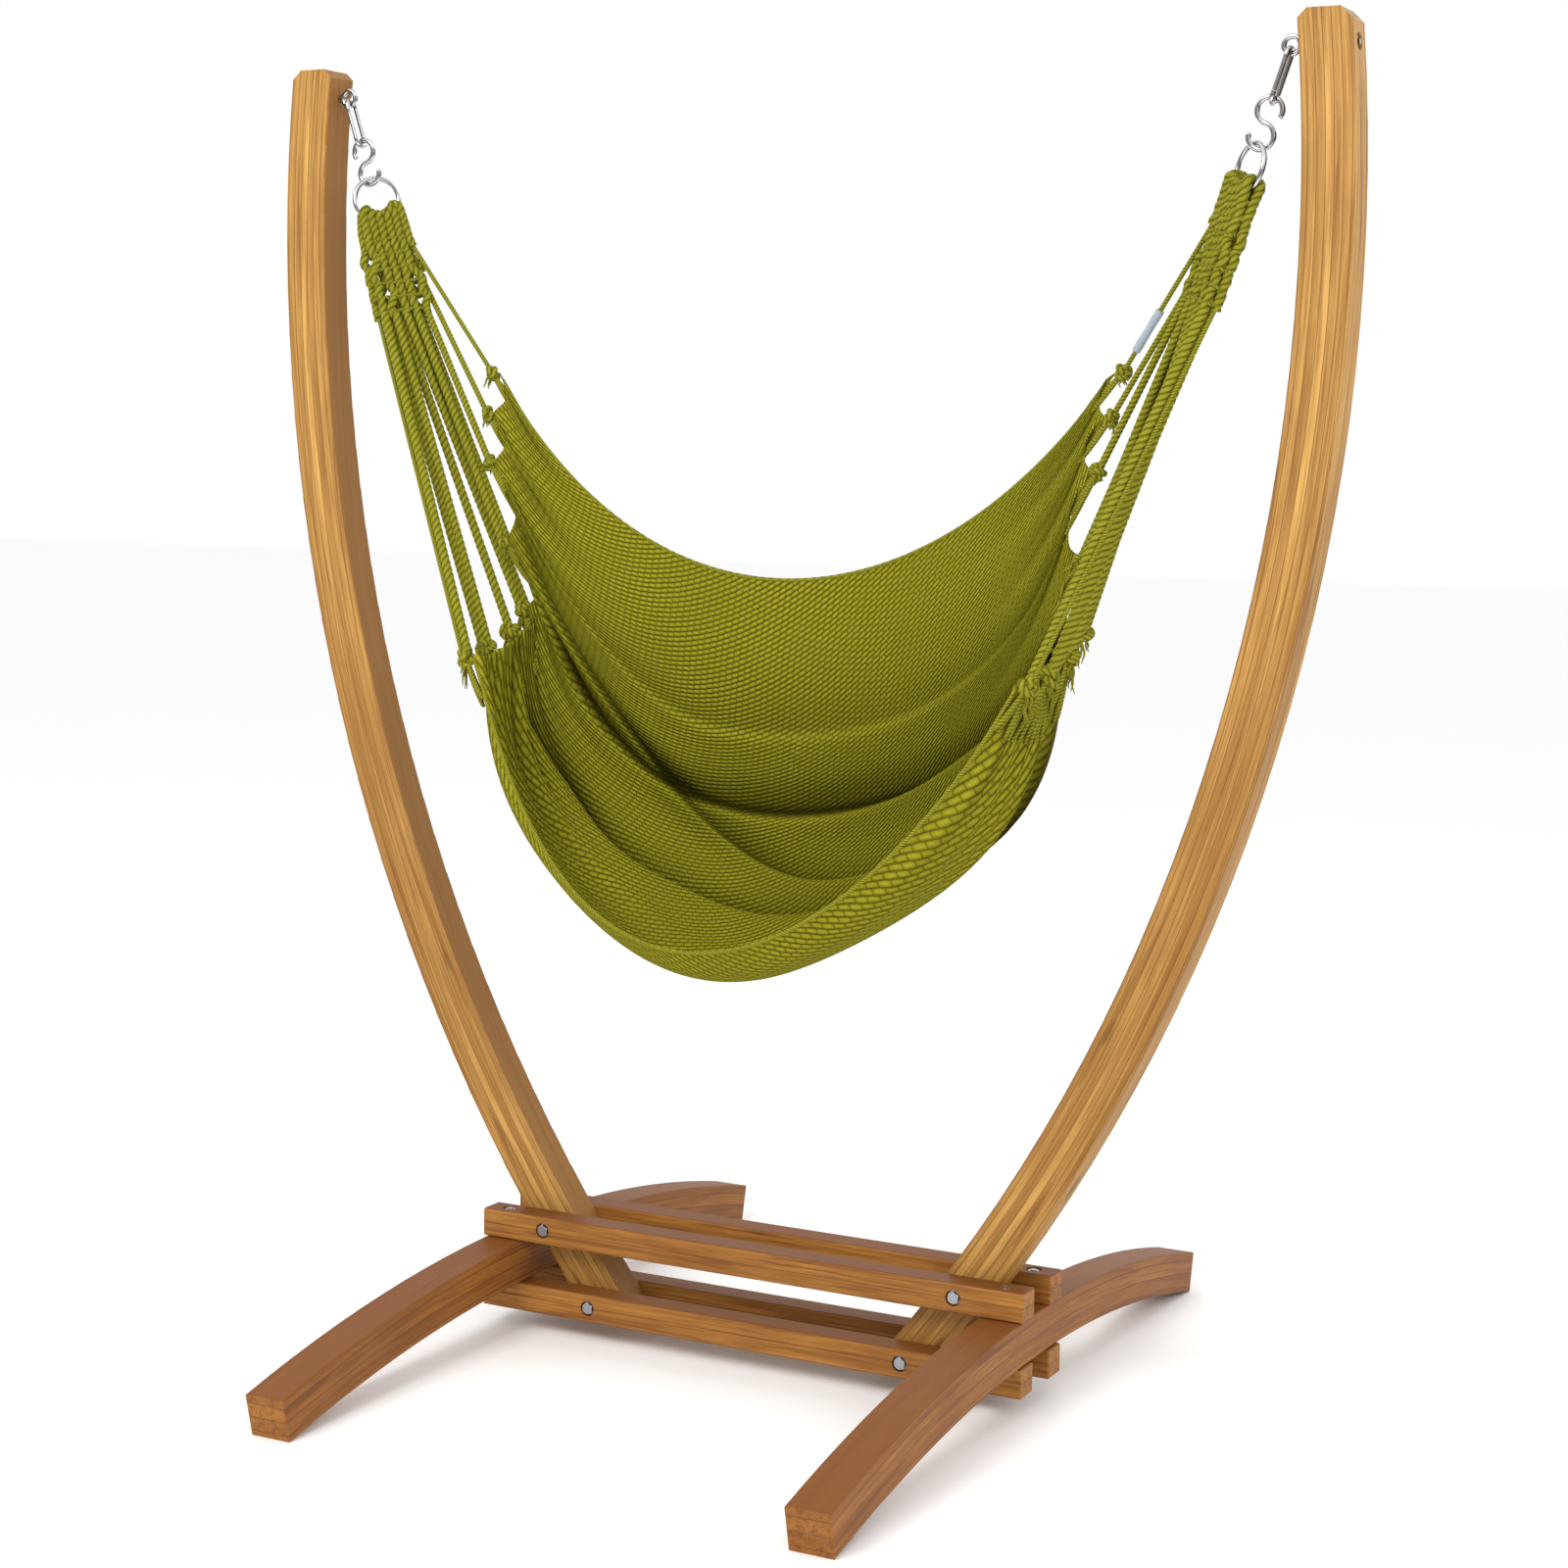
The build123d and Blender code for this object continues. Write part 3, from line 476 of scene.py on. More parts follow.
# ---- materials ------------------------------------------------------------------------
class Nodes:
    """A short way to write a material's nodes: each call adds one and links its inputs."""

    def __init__(self, name):
        self.material = bpy.data.materials.new(name)
        self.material.use_nodes = True
        self.tree = self.material.node_tree
        self.shader = self.tree.nodes["Principled BSDF"]

    def add(self, kind, inputs=(), **settings):
        node = self.tree.nodes.new(kind)
        for key, value in settings.items():
            setattr(node, key, value)
        for key, value in dict(inputs).items():
            self.put(node.inputs[key], value)
        return node

    def put(self, socket, value):
        """Links a socket to a node's output, or sets its constant."""
        if isinstance(value, bpy.types.NodeSocket):
            self.tree.links.new(value, socket)
        else:
            socket.default_value = value

    def math(self, operation, a, b=0.0, c=0.0):
        """One math node's result."""
        node = self.add("ShaderNodeMath", {0: a, 1: b, 2: c}, operation=operation)
        return node.outputs[0]

    def coordinates(self, output, scale=(1, 1, 1)):
        """A texture coordinate, scaled."""
        source = self.add("ShaderNodeTexCoord").outputs[output]
        return self.add("ShaderNodeMapping", {"Vector": source, "Scale": scale}).outputs["Vector"]

    def split(self, vector):
        """The three parts of a vector."""
        return tuple(self.add("ShaderNodeSeparateXYZ", {"Vector": vector}).outputs)

    def join(self, *parts):
        """A vector of up to three parts."""
        return self.add("ShaderNodeCombineXYZ", dict(enumerate(parts))).outputs[0]

    def noise(self, vector, scale, detail=3.0, roughness=0.5, distortion=0.0):
        inputs = {"Vector": vector, "Scale": scale, "Detail": detail,
                  "Roughness": roughness, "Distortion": distortion}
        return self.add("ShaderNodeTexNoise", inputs).outputs["Fac"]

    def ramp(self, factor, stops):
        """Colour at a factor, from a list of places and colours."""
        node = self.add("ShaderNodeValToRGB", {"Fac": factor})
        elements = node.color_ramp.elements
        while len(elements) < len(stops):
            elements.new(0.5)
        for element, (position, colour) in zip(elements, stops):
            element.position = position
            element.color = (*colour, 1.0)
        return node.outputs["Color"]

    def mix(self, factor, a, b):
        node = self.add("ShaderNodeMix", data_type="RGBA")
        self.put(node.inputs["Factor"], factor)
        for socket, value in ((node.inputs[6], a), (node.inputs[7], b)):
            self.put(socket, (*value, 1.0) if isinstance(value, tuple) else value)
        return node.outputs[2]

    def bump(self, height, strength, distance):
        """Turns the shader's normal by a height."""
        inputs = {"Height": height, "Strength": strength, "Distance": distance}
        self.put(self.shader.inputs["Normal"], self.add("ShaderNodeBump", inputs).outputs["Normal"])

    def finish(self, colour, roughness, **fixed):
        """Sets the shader's colour, roughness and fixed values, and gives the material."""
        self.put(self.shader.inputs["Base Color"], colour)
        self.put(self.shader.inputs["Roughness"], roughness)
        for key, value in fixed.items():
            self.shader.inputs[key.replace("_", " ")].default_value = value
        return self.material


def grey(level):
    """A grey of the given level, as a colour or as a mask."""
    return (level,) * 3


def scaled(colour, factor):
    """A colour times a factor, as a plain tuple."""
    return tuple(min(1.0, c * factor) for c in colour)


def wood_grain(nodes, stretched, colour, dark, lamination=None, turned=None):
    """Wood on coordinates whose first axis runs along the grain: bands, streaks, fine pores,
    slow patches and a few dark knots. Where lamination is given, glued layers of different
    tone with thin dark joints lie across the second axis. Where turned is given, faces with
    a high value there show the dark tone: painted shade on the posts' inner faces, and
    darker upward faces on the feet and rails."""
    along, across, deep = nodes.split(stretched)
    if lamination:
        layer = nodes.math("DIVIDE", across, lamination)
        number = nodes.math("FLOOR", layer)
        along = nodes.math("ADD", along, nodes.math("MULTIPLY", number, 0.737))

    def drawn_out(factor):
        return nodes.join(nodes.math("MULTIPLY", along, factor), across, deep)

    bands = nodes.noise(drawn_out(0.05), 70.0, 3.0, 0.55, 0.8)
    streaks = nodes.noise(drawn_out(0.035), 260.0, 4.0, 0.65, 0.3)
    pores = nodes.noise(drawn_out(0.02), 900.0, 2.0, 0.7)
    patches = nodes.noise(stretched, 4.0, 2.0)
    tone = nodes.ramp(bands, [(0.32, scaled(dark, 0.9)), (0.47, colour), (0.70, scaled(colour, 1.22))])
    tone = nodes.mix(nodes.ramp(streaks, [(0.36, grey(0.70)), (0.58, grey(0.0))]), tone, dark)
    tone = nodes.mix(nodes.ramp(patches, [(0.40, grey(0.0)), (0.68, grey(0.50))]), tone, dark)
    parts = zip((along, across, deep), (3.0, 9.0, 9.0))
    knot_space = nodes.join(*(nodes.math("MULTIPLY", part, factor) for part, factor in parts))
    cell = nodes.add("ShaderNodeTexVoronoi", {"Vector": knot_space, "Scale": 1.0})
    spot = nodes.ramp(cell.outputs["Distance"], [(0.030, grey(0.9)), (0.075, grey(0.0))])
    tone = nodes.mix(spot, tone, scaled(dark, 0.30))
    height = nodes.math("ADD", nodes.math("MULTIPLY", pores, 0.6), nodes.math("MULTIPLY", streaks, 0.4))
    if lamination:
        shade = nodes.add("ShaderNodeTexWhiteNoise", {"W": number}, noise_dimensions="1D").outputs["Value"]
        tone = nodes.mix(nodes.math("MULTIPLY", shade, 0.45), tone, dark)
        part = nodes.math("FRACT", layer)
        near = nodes.math("MINIMUM", part, nodes.math("SUBTRACT", 1.0, part))
        joint = nodes.math("LESS_THAN", near, 0.0006 / lamination)
        tone = nodes.mix(nodes.math("MULTIPLY", joint, 0.65), tone, scaled(dark, 0.4))
        height = nodes.math("SUBTRACT", height, nodes.math("MULTIPLY", joint, 0.5))
    # Darker by the face's turn: painted shade on the posts' inner faces; the feet and rails darker on their
    # upward faces.
    if turned is not None:
        facing = nodes.ramp(turned, [(0.35, grey(0.0)), (0.75, grey(0.80))])
        tone = nodes.mix(facing, tone, dark)
    nodes.bump(height, 0.35, 0.0006)
    rough = nodes.math("MULTIPLY_ADD", pores, 0.20, 0.42)
    return nodes.finish(tone, rough, Specular_IOR_Level=0.20)


def normal_part(nodes, axis):
    """One component of the surface's normal in object space."""
    normal = nodes.add("ShaderNodeTexCoord").outputs["Normal"]
    return nodes.split(normal)[axis]


def arc_coordinates(nodes, horizontal, centre, level):
    """Object coordinates unrolled from an arc: (arc length, distance from the centre, the
    axis across the arc), where horizontal is the index of the arc's level axis."""
    x, y, z = nodes.split(nodes.coordinates("Object"))
    side, other = (nodes.math("ABSOLUTE", x), y) if horizontal == 0 else (y, x)
    run = nodes.math("SUBTRACT", side, centre)
    rise = nodes.math("SUBTRACT", z, level)
    square = nodes.math("ADD", nodes.math("MULTIPLY", run, run), nodes.math("MULTIPLY", rise, rise))
    radius = nodes.math("SQRT", square)
    reach = abs(centre) if horizontal == 0 else abs(level)
    turn = nodes.math("ARCTAN2", rise, run) if horizontal == 0 else nodes.math("ARCTAN2", run, rise)
    return nodes.join(nodes.math("MULTIPLY", turn, reach), radius, other)


def post_wood(settings):
    """Laminated post: layers follow the bend, whose centre comes from the post's box, and its
    inner faces get painted shade.
    """
    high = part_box("post_right")[1]
    nodes = Nodes("post_wood")
    along = arc_coordinates(nodes, 0, high[0] - POST_BEND, POST_BEND_HEIGHT * high[2])
    place = nodes.split(nodes.coordinates("Object"))[0]
    outward = nodes.math("MULTIPLY", nodes.math("SIGN", place), normal_part(nodes, 0))
    inner = nodes.math("MULTIPLY", outward, -1.0)
    colour, dark = tuple(settings.post_colour), tuple(settings.post_dark)
    return wood_grain(nodes, along, colour, dark, settings.lamination, inner)


def foot_wood(settings):
    """Foot: grain follows the arch, whose centre comes from the foot's box."""
    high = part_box("foot_right")[1]
    nodes = Nodes("foot_wood")
    along = arc_coordinates(nodes, 1, 0.0, high[2] - FOOT_BEND * high[1])
    colour, dark = tuple(settings.foot_colour), tuple(settings.foot_dark)
    return wood_grain(nodes, along, colour, dark, FOOT_LAYER, normal_part(nodes, 2))


def rail_wood(settings):
    """Rail: two glued layers, the joint level at half height."""
    low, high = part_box("upper_rail_front")
    nodes = Nodes("rail_wood")
    x, y, z = nodes.split(nodes.coordinates("Object"))
    along = nodes.join(x, nodes.math("SUBTRACT", z, low[2]), y)
    colour, dark = tuple(settings.rail_colour), tuple(settings.foot_dark)
    return wood_grain(nodes, along, colour, dark, (high[2] - low[2]) / 2, normal_part(nodes, 2))


def metal(name, colour, roughness, scratch, reflection_contrast):
    """Metal with faint cloudy polish, fine scratches in its bump and a painted reflection in its
    colour: bands of dark and light from bottom to top, as polished wire shows in a bright room."""
    nodes = Nodes(name)
    clouds = nodes.noise(nodes.coordinates("Object"), 90.0, 3.0)
    fine = nodes.noise(nodes.coordinates("Object", (1, 1, 0.1)), 1600.0, 2.0)
    nodes.bump(fine, scratch, 0.0002)
    rough = nodes.math("MULTIPLY_ADD", clouds, 0.16, roughness)
    # Painted reflection: the colour banded by how far each face turns up.
    facing = nodes.math("MULTIPLY_ADD", normal_part(nodes, 2), 0.5, 0.5)
    bands = [(0.05, 0.35), (0.28, 0.9), (0.40, 0.10), (0.56, 0.22), (0.66, 1.0), (0.92, 0.55)]
    painted_reflection = nodes.ramp(facing, [(place, scaled(colour, level)) for place, level in bands])
    painted_reflection = nodes.mix(1.0 - reflection_contrast, painted_reflection, colour)
    return nodes.finish(painted_reflection, rough, Metallic=1.0)


def cord_yarn(settings, name="cord_yarn", colour=None):
    """Twisted cotton: a painted highlight on each strand's back and painted shade in the grooves
    between strands, with fibres that run along the strands."""
    colour = colour or tuple(settings.colour)
    nodes = Nodes(name)
    along, strand, _ = nodes.split(nodes.add("ShaderNodeTexCoord").outputs["UV"])
    turn = nodes.math("MULTIPLY", strand, math.pi)
    back = nodes.math("ABSOLUTE", nodes.math("COSINE", turn))
    fibre_at = nodes.join(nodes.math("MULTIPLY", along, 160.0), nodes.math("MULTIPLY", strand, 14.0))
    fibre = nodes.noise(fibre_at, 1.0, 3.0, 0.6)
    mottled = nodes.noise(nodes.coordinates("Object"), 35.0, 3.0)
    # Painted highlight on each strand's back and painted shade in the grooves, by the strand's turn.
    stops = [(0.05, 0.25), (0.45, 0.80), (0.95, 1.40)]
    tone = nodes.ramp(back, [(place, scaled(colour, level)) for place, level in stops])
    dark = nodes.ramp(fibre, [(0.32, grey(0.55)), (0.60, grey(0.0))])
    tone = nodes.mix(dark, tone, scaled(colour, 0.45))
    tone = nodes.mix(nodes.math("MULTIPLY", mottled, 0.4), tone, scaled(colour, 0.62))
    height = nodes.math("ADD", back, nodes.math("MULTIPLY", fibre, 0.35))
    nodes.bump(height, 0.6, 0.0012)
    return nodes.finish(tone, 0.9, Specular_IOR_Level=0.06)


def woven_cloth(settings):
    """Coarse twill on the cloth's UV map, in metres: slanting ribs broken into stitches by
    the weft, each rib a half sine in height, with a painted highlight on its back and painted
    shade in its groove."""
    nodes = Nodes("woven_cloth")
    uv = nodes.add("ShaderNodeTexCoord").outputs["UV"]
    wander = nodes.add("ShaderNodeTexNoise", {"Vector": uv, "Scale": 60.0, "Detail": 2.0})
    drift = nodes.add("ShaderNodeVectorMath", {0: wander.outputs["Color"], 1: (0.5, 0.5, 0.5)},
                      operation="SUBTRACT")
    drift = nodes.add("ShaderNodeVectorMath", {0: drift.outputs[0], "Scale": 0.0022}, operation="SCALE")
    moved = nodes.add("ShaderNodeVectorMath", {0: uv, 1: drift.outputs[0]}, operation="ADD")
    across, along, _ = nodes.split(moved.outputs[0])
    cosine, sine = math.cos(settings.slant), math.sin(settings.slant)
    over = nodes.math("MULTIPLY_ADD", across, sine, nodes.math("MULTIPLY", along, cosine))
    run = nodes.math("MULTIPLY_ADD", across, cosine, nodes.math("MULTIPLY", along, -sine))
    row = nodes.math("DIVIDE", over, settings.rib)
    number = nodes.math("FLOOR", row)
    stitch = nodes.math("MULTIPLY_ADD", number, 0.38, nodes.math("DIVIDE", run, settings.rib * 2.3))
    rib = nodes.math("SINE", nodes.math("MULTIPLY", nodes.math("FRACT", row), math.pi))
    bead = nodes.math("SINE", nodes.math("MULTIPLY", nodes.math("FRACT", stitch), math.pi))
    weave = nodes.math("MULTIPLY", nodes.math("POWER", rib, 0.8), nodes.math("POWER", bead, 0.28))
    fibre_at = nodes.join(nodes.math("MULTIPLY", run, 260.0), nodes.math("MULTIPLY", over, 1500.0))
    fibre = nodes.noise(fibre_at, 1.0, 3.0, 0.6)
    blotch = nodes.noise(nodes.coordinates("Object"), 7.0, 3.0, 0.55)
    colour, groove = tuple(settings.colour), tuple(settings.groove_shade_colour)
    # Painted shade in the grooves and a painted highlight on the ribs' backs, by rib height.
    stops = [(0.08, scaled(groove, 0.8)), (0.50, scaled(colour, 0.88)), (0.95, scaled(colour, 1.40))]
    tone = nodes.ramp(weave, stops)
    tone = nodes.mix(nodes.ramp(fibre, [(0.35, grey(0.35)), (0.62, grey(0.0))]), tone, groove)
    worn = nodes.ramp(blotch, [(0.35, grey(0.30)), (0.65, grey(0.0))])
    tone = nodes.mix(worn, tone, scaled(colour, 0.70))
    # Painted shade in the crease valleys and between the pleats, from the cloth's shade attribute.
    shade = nodes.add("ShaderNodeAttribute", attribute_name="shade").outputs["Fac"]
    tone = nodes.mix(nodes.math("MULTIPLY", shade, 0.97), tone, scaled(groove, 0.22))
    # Painted light: pale specks in the grooves, in patches, where light would show through the weave.
    thin = nodes.noise(nodes.coordinates("Object"), 6.0, 2.0)
    open_cloth = nodes.ramp(thin, [(0.52, grey(0.0)), (0.66, grey(1.0))])
    hole = nodes.math("MULTIPLY", nodes.math("LESS_THAN", weave, 0.16),
                      nodes.math("GREATER_THAN", nodes.noise(uv, 160.0, 1.0), 0.66))
    tone = nodes.mix(nodes.math("MULTIPLY", hole, open_cloth), tone, (0.62, 0.60, 0.36))
    height = nodes.math("ADD", weave, nodes.math("MULTIPLY", fibre, 0.22))
    nodes.bump(height, 1.0, 0.0030)
    return nodes.finish(tone, 0.95, Specular_IOR_Level=0.04)


def sleeve_cloth():
    """Grey label cloth with a close plain weave."""
    nodes = Nodes("sleeve_cloth")
    weave = nodes.noise(nodes.coordinates("Object"), 900.0, 2.0)
    tone = nodes.ramp(weave, [(0.3, (0.24, 0.27, 0.32)), (0.7, (0.42, 0.46, 0.52))])
    nodes.bump(weave, 0.3, 0.0004)
    return nodes.finish(tone, 0.8, Specular_IOR_Level=0.2)


def paint(node, material):
    """Gives a CAD node's every slot the material."""
    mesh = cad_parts[node].data
    mesh.materials.clear()
    mesh.materials.append(material)


# ---- operators ----------------------------------------------------------------------
class HAMMOCK_OT_paint_wood(bpy.types.Operator):
    """Give the posts, feet and rails their wood"""
    bl_idname = "hammock.paint_wood"
    bl_label = "Wood"

    def execute(self, context):
        settings = context.scene.hammock_wood
        finishes = {"post": post_wood(settings), "foot": foot_wood(settings), "rail": rail_wood(settings)}
        for side in SIDES:
            paint(f"post_{side}", finishes["post"])
            paint(f"foot_{side}", finishes["foot"])
        for level in ("upper", "lower"):
            for place in ("front", "back"):
                paint(f"{level}_rail_{place}", finishes["rail"])
        return {"FINISHED"}


class HAMMOCK_OT_paint_metal(bpy.types.Operator):
    """Give the fasteners and the hanging hardware their metal"""
    bl_idname = "hammock.paint_metal"
    bl_label = "Metal"

    def execute(self, context):
        zinc = metal("zinc_plate", (0.52, 0.52, 0.54), 0.30, 0.10, 0.35)
        polished = metal("polished_steel", (0.80, 0.80, 0.82), 0.10, 0.05, 0.9)
        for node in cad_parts:
            if "bolt" in node or node.startswith("eye_"):
                paint(node, zinc)
            if node.startswith(("eye_bolt", "snap_link", "link_gate", "gate_pin", "s_hook", "ring_")):
                paint(node, polished)
        return {"FINISHED"}


class HAMMOCK_OT_make_cords(bpy.types.Operator):
    """Make the twisted suspension cords from the woven heads to the side knots"""
    bl_idname = "hammock.make_cords"
    bl_label = "Suspension cords"

    def execute(self, context):
        settings = context.scene.hammock_cords
        material = cord_yarn(settings)
        for side in SIDES:
            for order, ends in enumerate(cord_ends()):
                thickness = CORD_THICKNESS[order]
                route = [mirrored(point, side) for point in ends]
                path = evenly(route_points(route), 0.0013)
                skin = Skin()
                skin.add_cord(path, thickness, (0.0, 1.0, 0.0), 18, settings.strands,
                              settings.lay_length, 0.37 * order)
                cord = skin.make(f"cord_{side}_{order + 1}")
                cord.data.materials.append(material)
                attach(cord, "hammock")
                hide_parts(f"suspension_cords_{side}")
        return {"FINISHED"}


class HAMMOCK_OT_make_heads(bpy.types.Operator):
    """Make the heads: cords looped over the ring's wire and woven across"""
    bl_idname = "hammock.make_heads"
    bl_label = "Woven heads"

    def execute(self, context):
        settings = context.scene.hammock_cords
        material = cord_yarn(settings, "head_yarn", scaled(settings.colour, 0.9))
        for side in SIDES:
            skin = Skin()
            for loop in range(len(CORD_KNOTS) // 2):
                self.add_loop(skin, loop, side)
            for row in range(WEFT_ROWS):
                self.add_weft(skin, row, side)
            head = skin.make(f"woven_head_cords_{side}")
            head.data.materials.append(material)
            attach(head, "hammock")
            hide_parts(f"woven_head_{side}")
        return {"FINISHED"}

    def legs(self, order, depth):
        """A warp cord's path at the given depths: spread across the head, drawn in at every
        weft row, and pushed aside round each eyelet by a bell curve."""
        across, down, outward = head_axes()
        place = warp_place(order, depth)
        for gap, at in EYELETS:
            off = order - gap - 0.5
            near = math.exp(-(abs(off) - 0.5) / 1.3)
            push = EYELET_PUSH * near * np.exp(-((depth - at) / EYELET_REACH) ** 2)
            place = place + np.sign(off) * push
        layer = WARP_LAYER + 0.0012 - 0.0024 * np.cos(np.pi * (depth - WEFT_FROM) / WEFT_PITCH) ** 8
        layer = layer if order % 2 else -layer
        return ring_centre("right") + across * place + down * depth + outward * layer

    def add_loop(self, skin, loop, side):
        """One cord that comes up the head, turns round the ring's wire and goes down again."""
        across, _, outward = head_axes()
        wire_down = np.array([-math.sin(HANG_LEAN), 0.0, -math.cos(HANG_LEAN)])
        wire_along = np.array([-math.cos(RING_TURN), math.sin(RING_TURN), 0.0])
        wire_along = unit(wire_along - wire_down * wire_along.dot(wire_down))
        last = len(CORD_KNOTS) // 2 - 1
        angle = LOOP_SPREAD * (loop - last / 2) / last
        centre = ring_centre("right")
        wire = centre + RING_RADIUS * (wire_down * math.cos(angle) + wire_along * math.sin(angle))
        inward = unit(centre - wire)
        turn = np.linspace(0, np.pi, 11)[:, None]
        bend = wire + LOOP_RADIUS * (inward * np.sin(turn) - outward * np.cos(turn))
        legs = []
        for order in (2 * loop, 2 * loop + 1):
            end = EARLY.get(order, HEAD_END) + 0.004
            legs.append(self.legs(order, np.linspace(WARP_START, end, 90)[:, None]))
        path = evenly(np.concatenate([legs[0][::-1], bend, legs[1]]), 0.0016)
        for _ in range(6):
            path[1:-1] = 0.25 * path[:-2] + 0.5 * path[1:-1] + 0.25 * path[2:]
        reference = mirrored(across, side)
        skin.add_cord(mirrored(path, side), WARP_THICKNESS, reference, 16, phase=0.29 * loop)

    def add_weft(self, skin, row, side):
        """One turn of yarn round the head: a flat superellipse that dips between the cords."""
        across, down, outward = head_axes()
        depth = WEFT_FROM + WEFT_PITCH * row
        angle = np.linspace(0, 2 * np.pi, 220, endpoint=False)[:, None]
        sideways = np.sign(np.cos(angle)) * np.abs(np.cos(angle)) ** 0.55
        through = np.sign(np.sin(angle)) * np.abs(np.sin(angle)) ** 0.35
        half = warp_place(10.6, depth) if depth < EARLY[11] else warp_place(9.5, depth)
        ripple = 0.0010 * np.cos(6 * np.pi * sideways + np.pi * row)
        wander = 0.0010 * np.sin(3 * angle + row)
        path = ring_centre("right") + across * half * sideways
        path = path + outward * (0.0098 + ripple) * through + down * (depth + wander)
        skin.add_cord(mirrored(path, side), WEFT_THICKNESS, (0.0, 0.0, 1.0), 10,
                      phase=0.2 * row, closed=True)


def knot_path(centre, radius, turn):
    """Path of an overhand knot: a (2, 3) torus knot of the given outer radius, turned."""
    t = np.linspace(0, 2 * np.pi, 150, endpoint=False)
    reach = 2.0 + np.cos(3 * t)
    path = np.stack([reach * np.cos(2 * t), reach * np.sin(2 * t), 1.4 * np.sin(3 * t)], axis=-1)
    return centre + path @ np.array(turn).T * radius / 3.6


class HAMMOCK_OT_make_knots(bpy.types.Operator):
    """Make the side knots, their fringes and the yarns that gather the cloth into them"""
    bl_idname = "hammock.make_knots"
    bl_label = "Side knots and fringe"

    def execute(self, context):
        cloth, cords = context.scene.hammock_cloth, context.scene.hammock_cords
        material = cord_yarn(cords, "knot_yarn", scaled(cords.colour, 1.02))
        for side in SIDES:
            skin = Skin()
            random = np.random.default_rng(7 if side == "left" else 11)
            for index, centre in enumerate(knot_places()):
                size = 0.0125 if index < FRONT_KNOT else 0.0160
                tilt = Matrix.Rotation(1.2 + 0.5 * index, 3, "X")
                turn = Matrix.Rotation(random.uniform(0, 6.28), 3, "Z") @ tilt
                path = mirrored(knot_path(centre, size, turn), side)
                skin.add_cord(path, size * 0.80, (0.31, 0.42, 0.85), 12, closed=True)
                self.add_gathers(skin, cloth, index, centre, side, random)
                self.add_fringe(skin, index, centre, side, random)
            knots = skin.make(f"side_knot_cords_{side}")
            knots.data.materials.append(material)
            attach(knots, "hammock")
            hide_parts(f"side_knots_{side}")
        return {"FINISHED"}

    def add_gathers(self, skin, cloth, index, centre, side, random):
        """Yarns that fan from a knot to the cloth's edge: a bowed line to each edge point."""
        edges = (KNOT_SHARES[:-1] + KNOT_SHARES[1:]) / 2
        first = edges[index - 1] if index else 0.0
        last = edges[index] if index < len(edges) else 1.0
        count = max(4, int(round((last - first) * 46)))
        s = np.linspace(0, 1, 40)[:, None]
        for k in range(count):
            share = first + (last - first) * (k + 0.5) / count
            reach = 0.93 if index >= FRONT_KNOT else 0.965
            edge = seat_with_folds(np.array([reach]), np.array([share]), cloth)[0]
            edge = edge + np.array([0.003, -0.003 if index >= FRONT_KNOT else 0.0, 0.0])
            sag = np.array([0.0, -0.002, -0.003]) * np.sin(np.pi * s) * random.uniform(0.3, 1.0)
            path = mirrored(centre + (edge - centre) * s + sag, side)
            thickness = 0.0088 if index >= FRONT_KNOT else 0.0070
            skin.add_cord(path, thickness * (1 - 0.35 * s ** 4), (0.0, 1.0, 0.1), 10, phase=0.31 * k)

    def add_fringe(self, skin, index, centre, side, random):
        """Loose yarn ends below a knot: short bowed lines that spread as they fall."""
        count = 9 if index >= FRONT_KNOT else 4
        length = 0.048 if index >= FRONT_KNOT else 0.022
        s = np.linspace(0, 1, 12)[:, None]
        for _ in range(count):
            out = np.array([random.uniform(-0.3, 0.7), random.uniform(-0.8, 0.3), 0.0])
            fall = length * random.uniform(0.5, 1.15)
            path = centre + out * 0.016 * np.sqrt(s) + np.array([0, 0, -1.0]) * fall * s
            path = path + 0.0022 * np.sin(9 * s + random.uniform(0, 6)) * np.array([0.7, 0.7, 0])
            skin.add_cord(mirrored(path, side), 0.0042 * (1 - 0.7 * s ** 3), (0.3, 1.0, 0.1), 7, hollow=0.1)


class HAMMOCK_OT_make_cloth(bpy.types.Operator):
    """Make the seat cloth with its folds, its front band and its corded edges"""
    bl_idname = "hammock.make_cloth"
    bl_label = "Seat cloth"

    def execute(self, context):
        settings, cords = context.scene.hammock_cloth, context.scene.hammock_cords
        rows, columns = 250, 170
        v = np.linspace(0, 1, rows)[:, None] * np.ones(columns)
        u = np.sin(np.linspace(-1, 1, columns) * 1.35) / math.sin(1.35) * np.ones((rows, 1))
        points = seat_with_folds(u, v, settings)
        faces = grid_faces(rows, columns)
        uv = np.stack([u * 0.70, v * 1.06 - 0.55 * np.clip(v - 0.76, 0, 1) ** 1.2], axis=-1)
        cloth = put_mesh("seat_cloth", points, faces.tolist(), uv.reshape(-1, 2)[faces])
        # Painted shade of the crease valleys and pleat gaps, kept for the cloth's material.
        shade = cloth.data.attributes.new("shade", "FLOAT", "POINT")
        shade.data.foreach_set("value", folds(u, v)[1].astype(np.float32).ravel())
        wall = cloth.modifiers.new("thickness", "SOLIDIFY")
        wall.thickness, wall.offset = settings.thickness, 0.0
        cloth.data.materials.append(woven_cloth(settings))
        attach(cloth, "hammock")
        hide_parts("seat_fabric")
        edging = self.edging(settings)
        edging.data.materials.append(cord_yarn(cords, "edging_yarn", scaled(cords.colour, 1.05)))
        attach(edging, "hammock")
        return {"FINISHED"}

    def edging(self, settings):
        """Twisted edge cords along the cloth's back edge and front lip."""
        skin = Skin()
        u = np.linspace(-0.985, 0.985, 400)
        for share, thickness in ((0.003, 0.0046), (0.997, 0.0068)):
            path = evenly(seat_with_folds(u, np.full_like(u, share), settings), 0.0016)
            skin.add_cord(path, thickness, (0.0, 1.0, 0.0), 10)
        return skin.make("edge_cords")


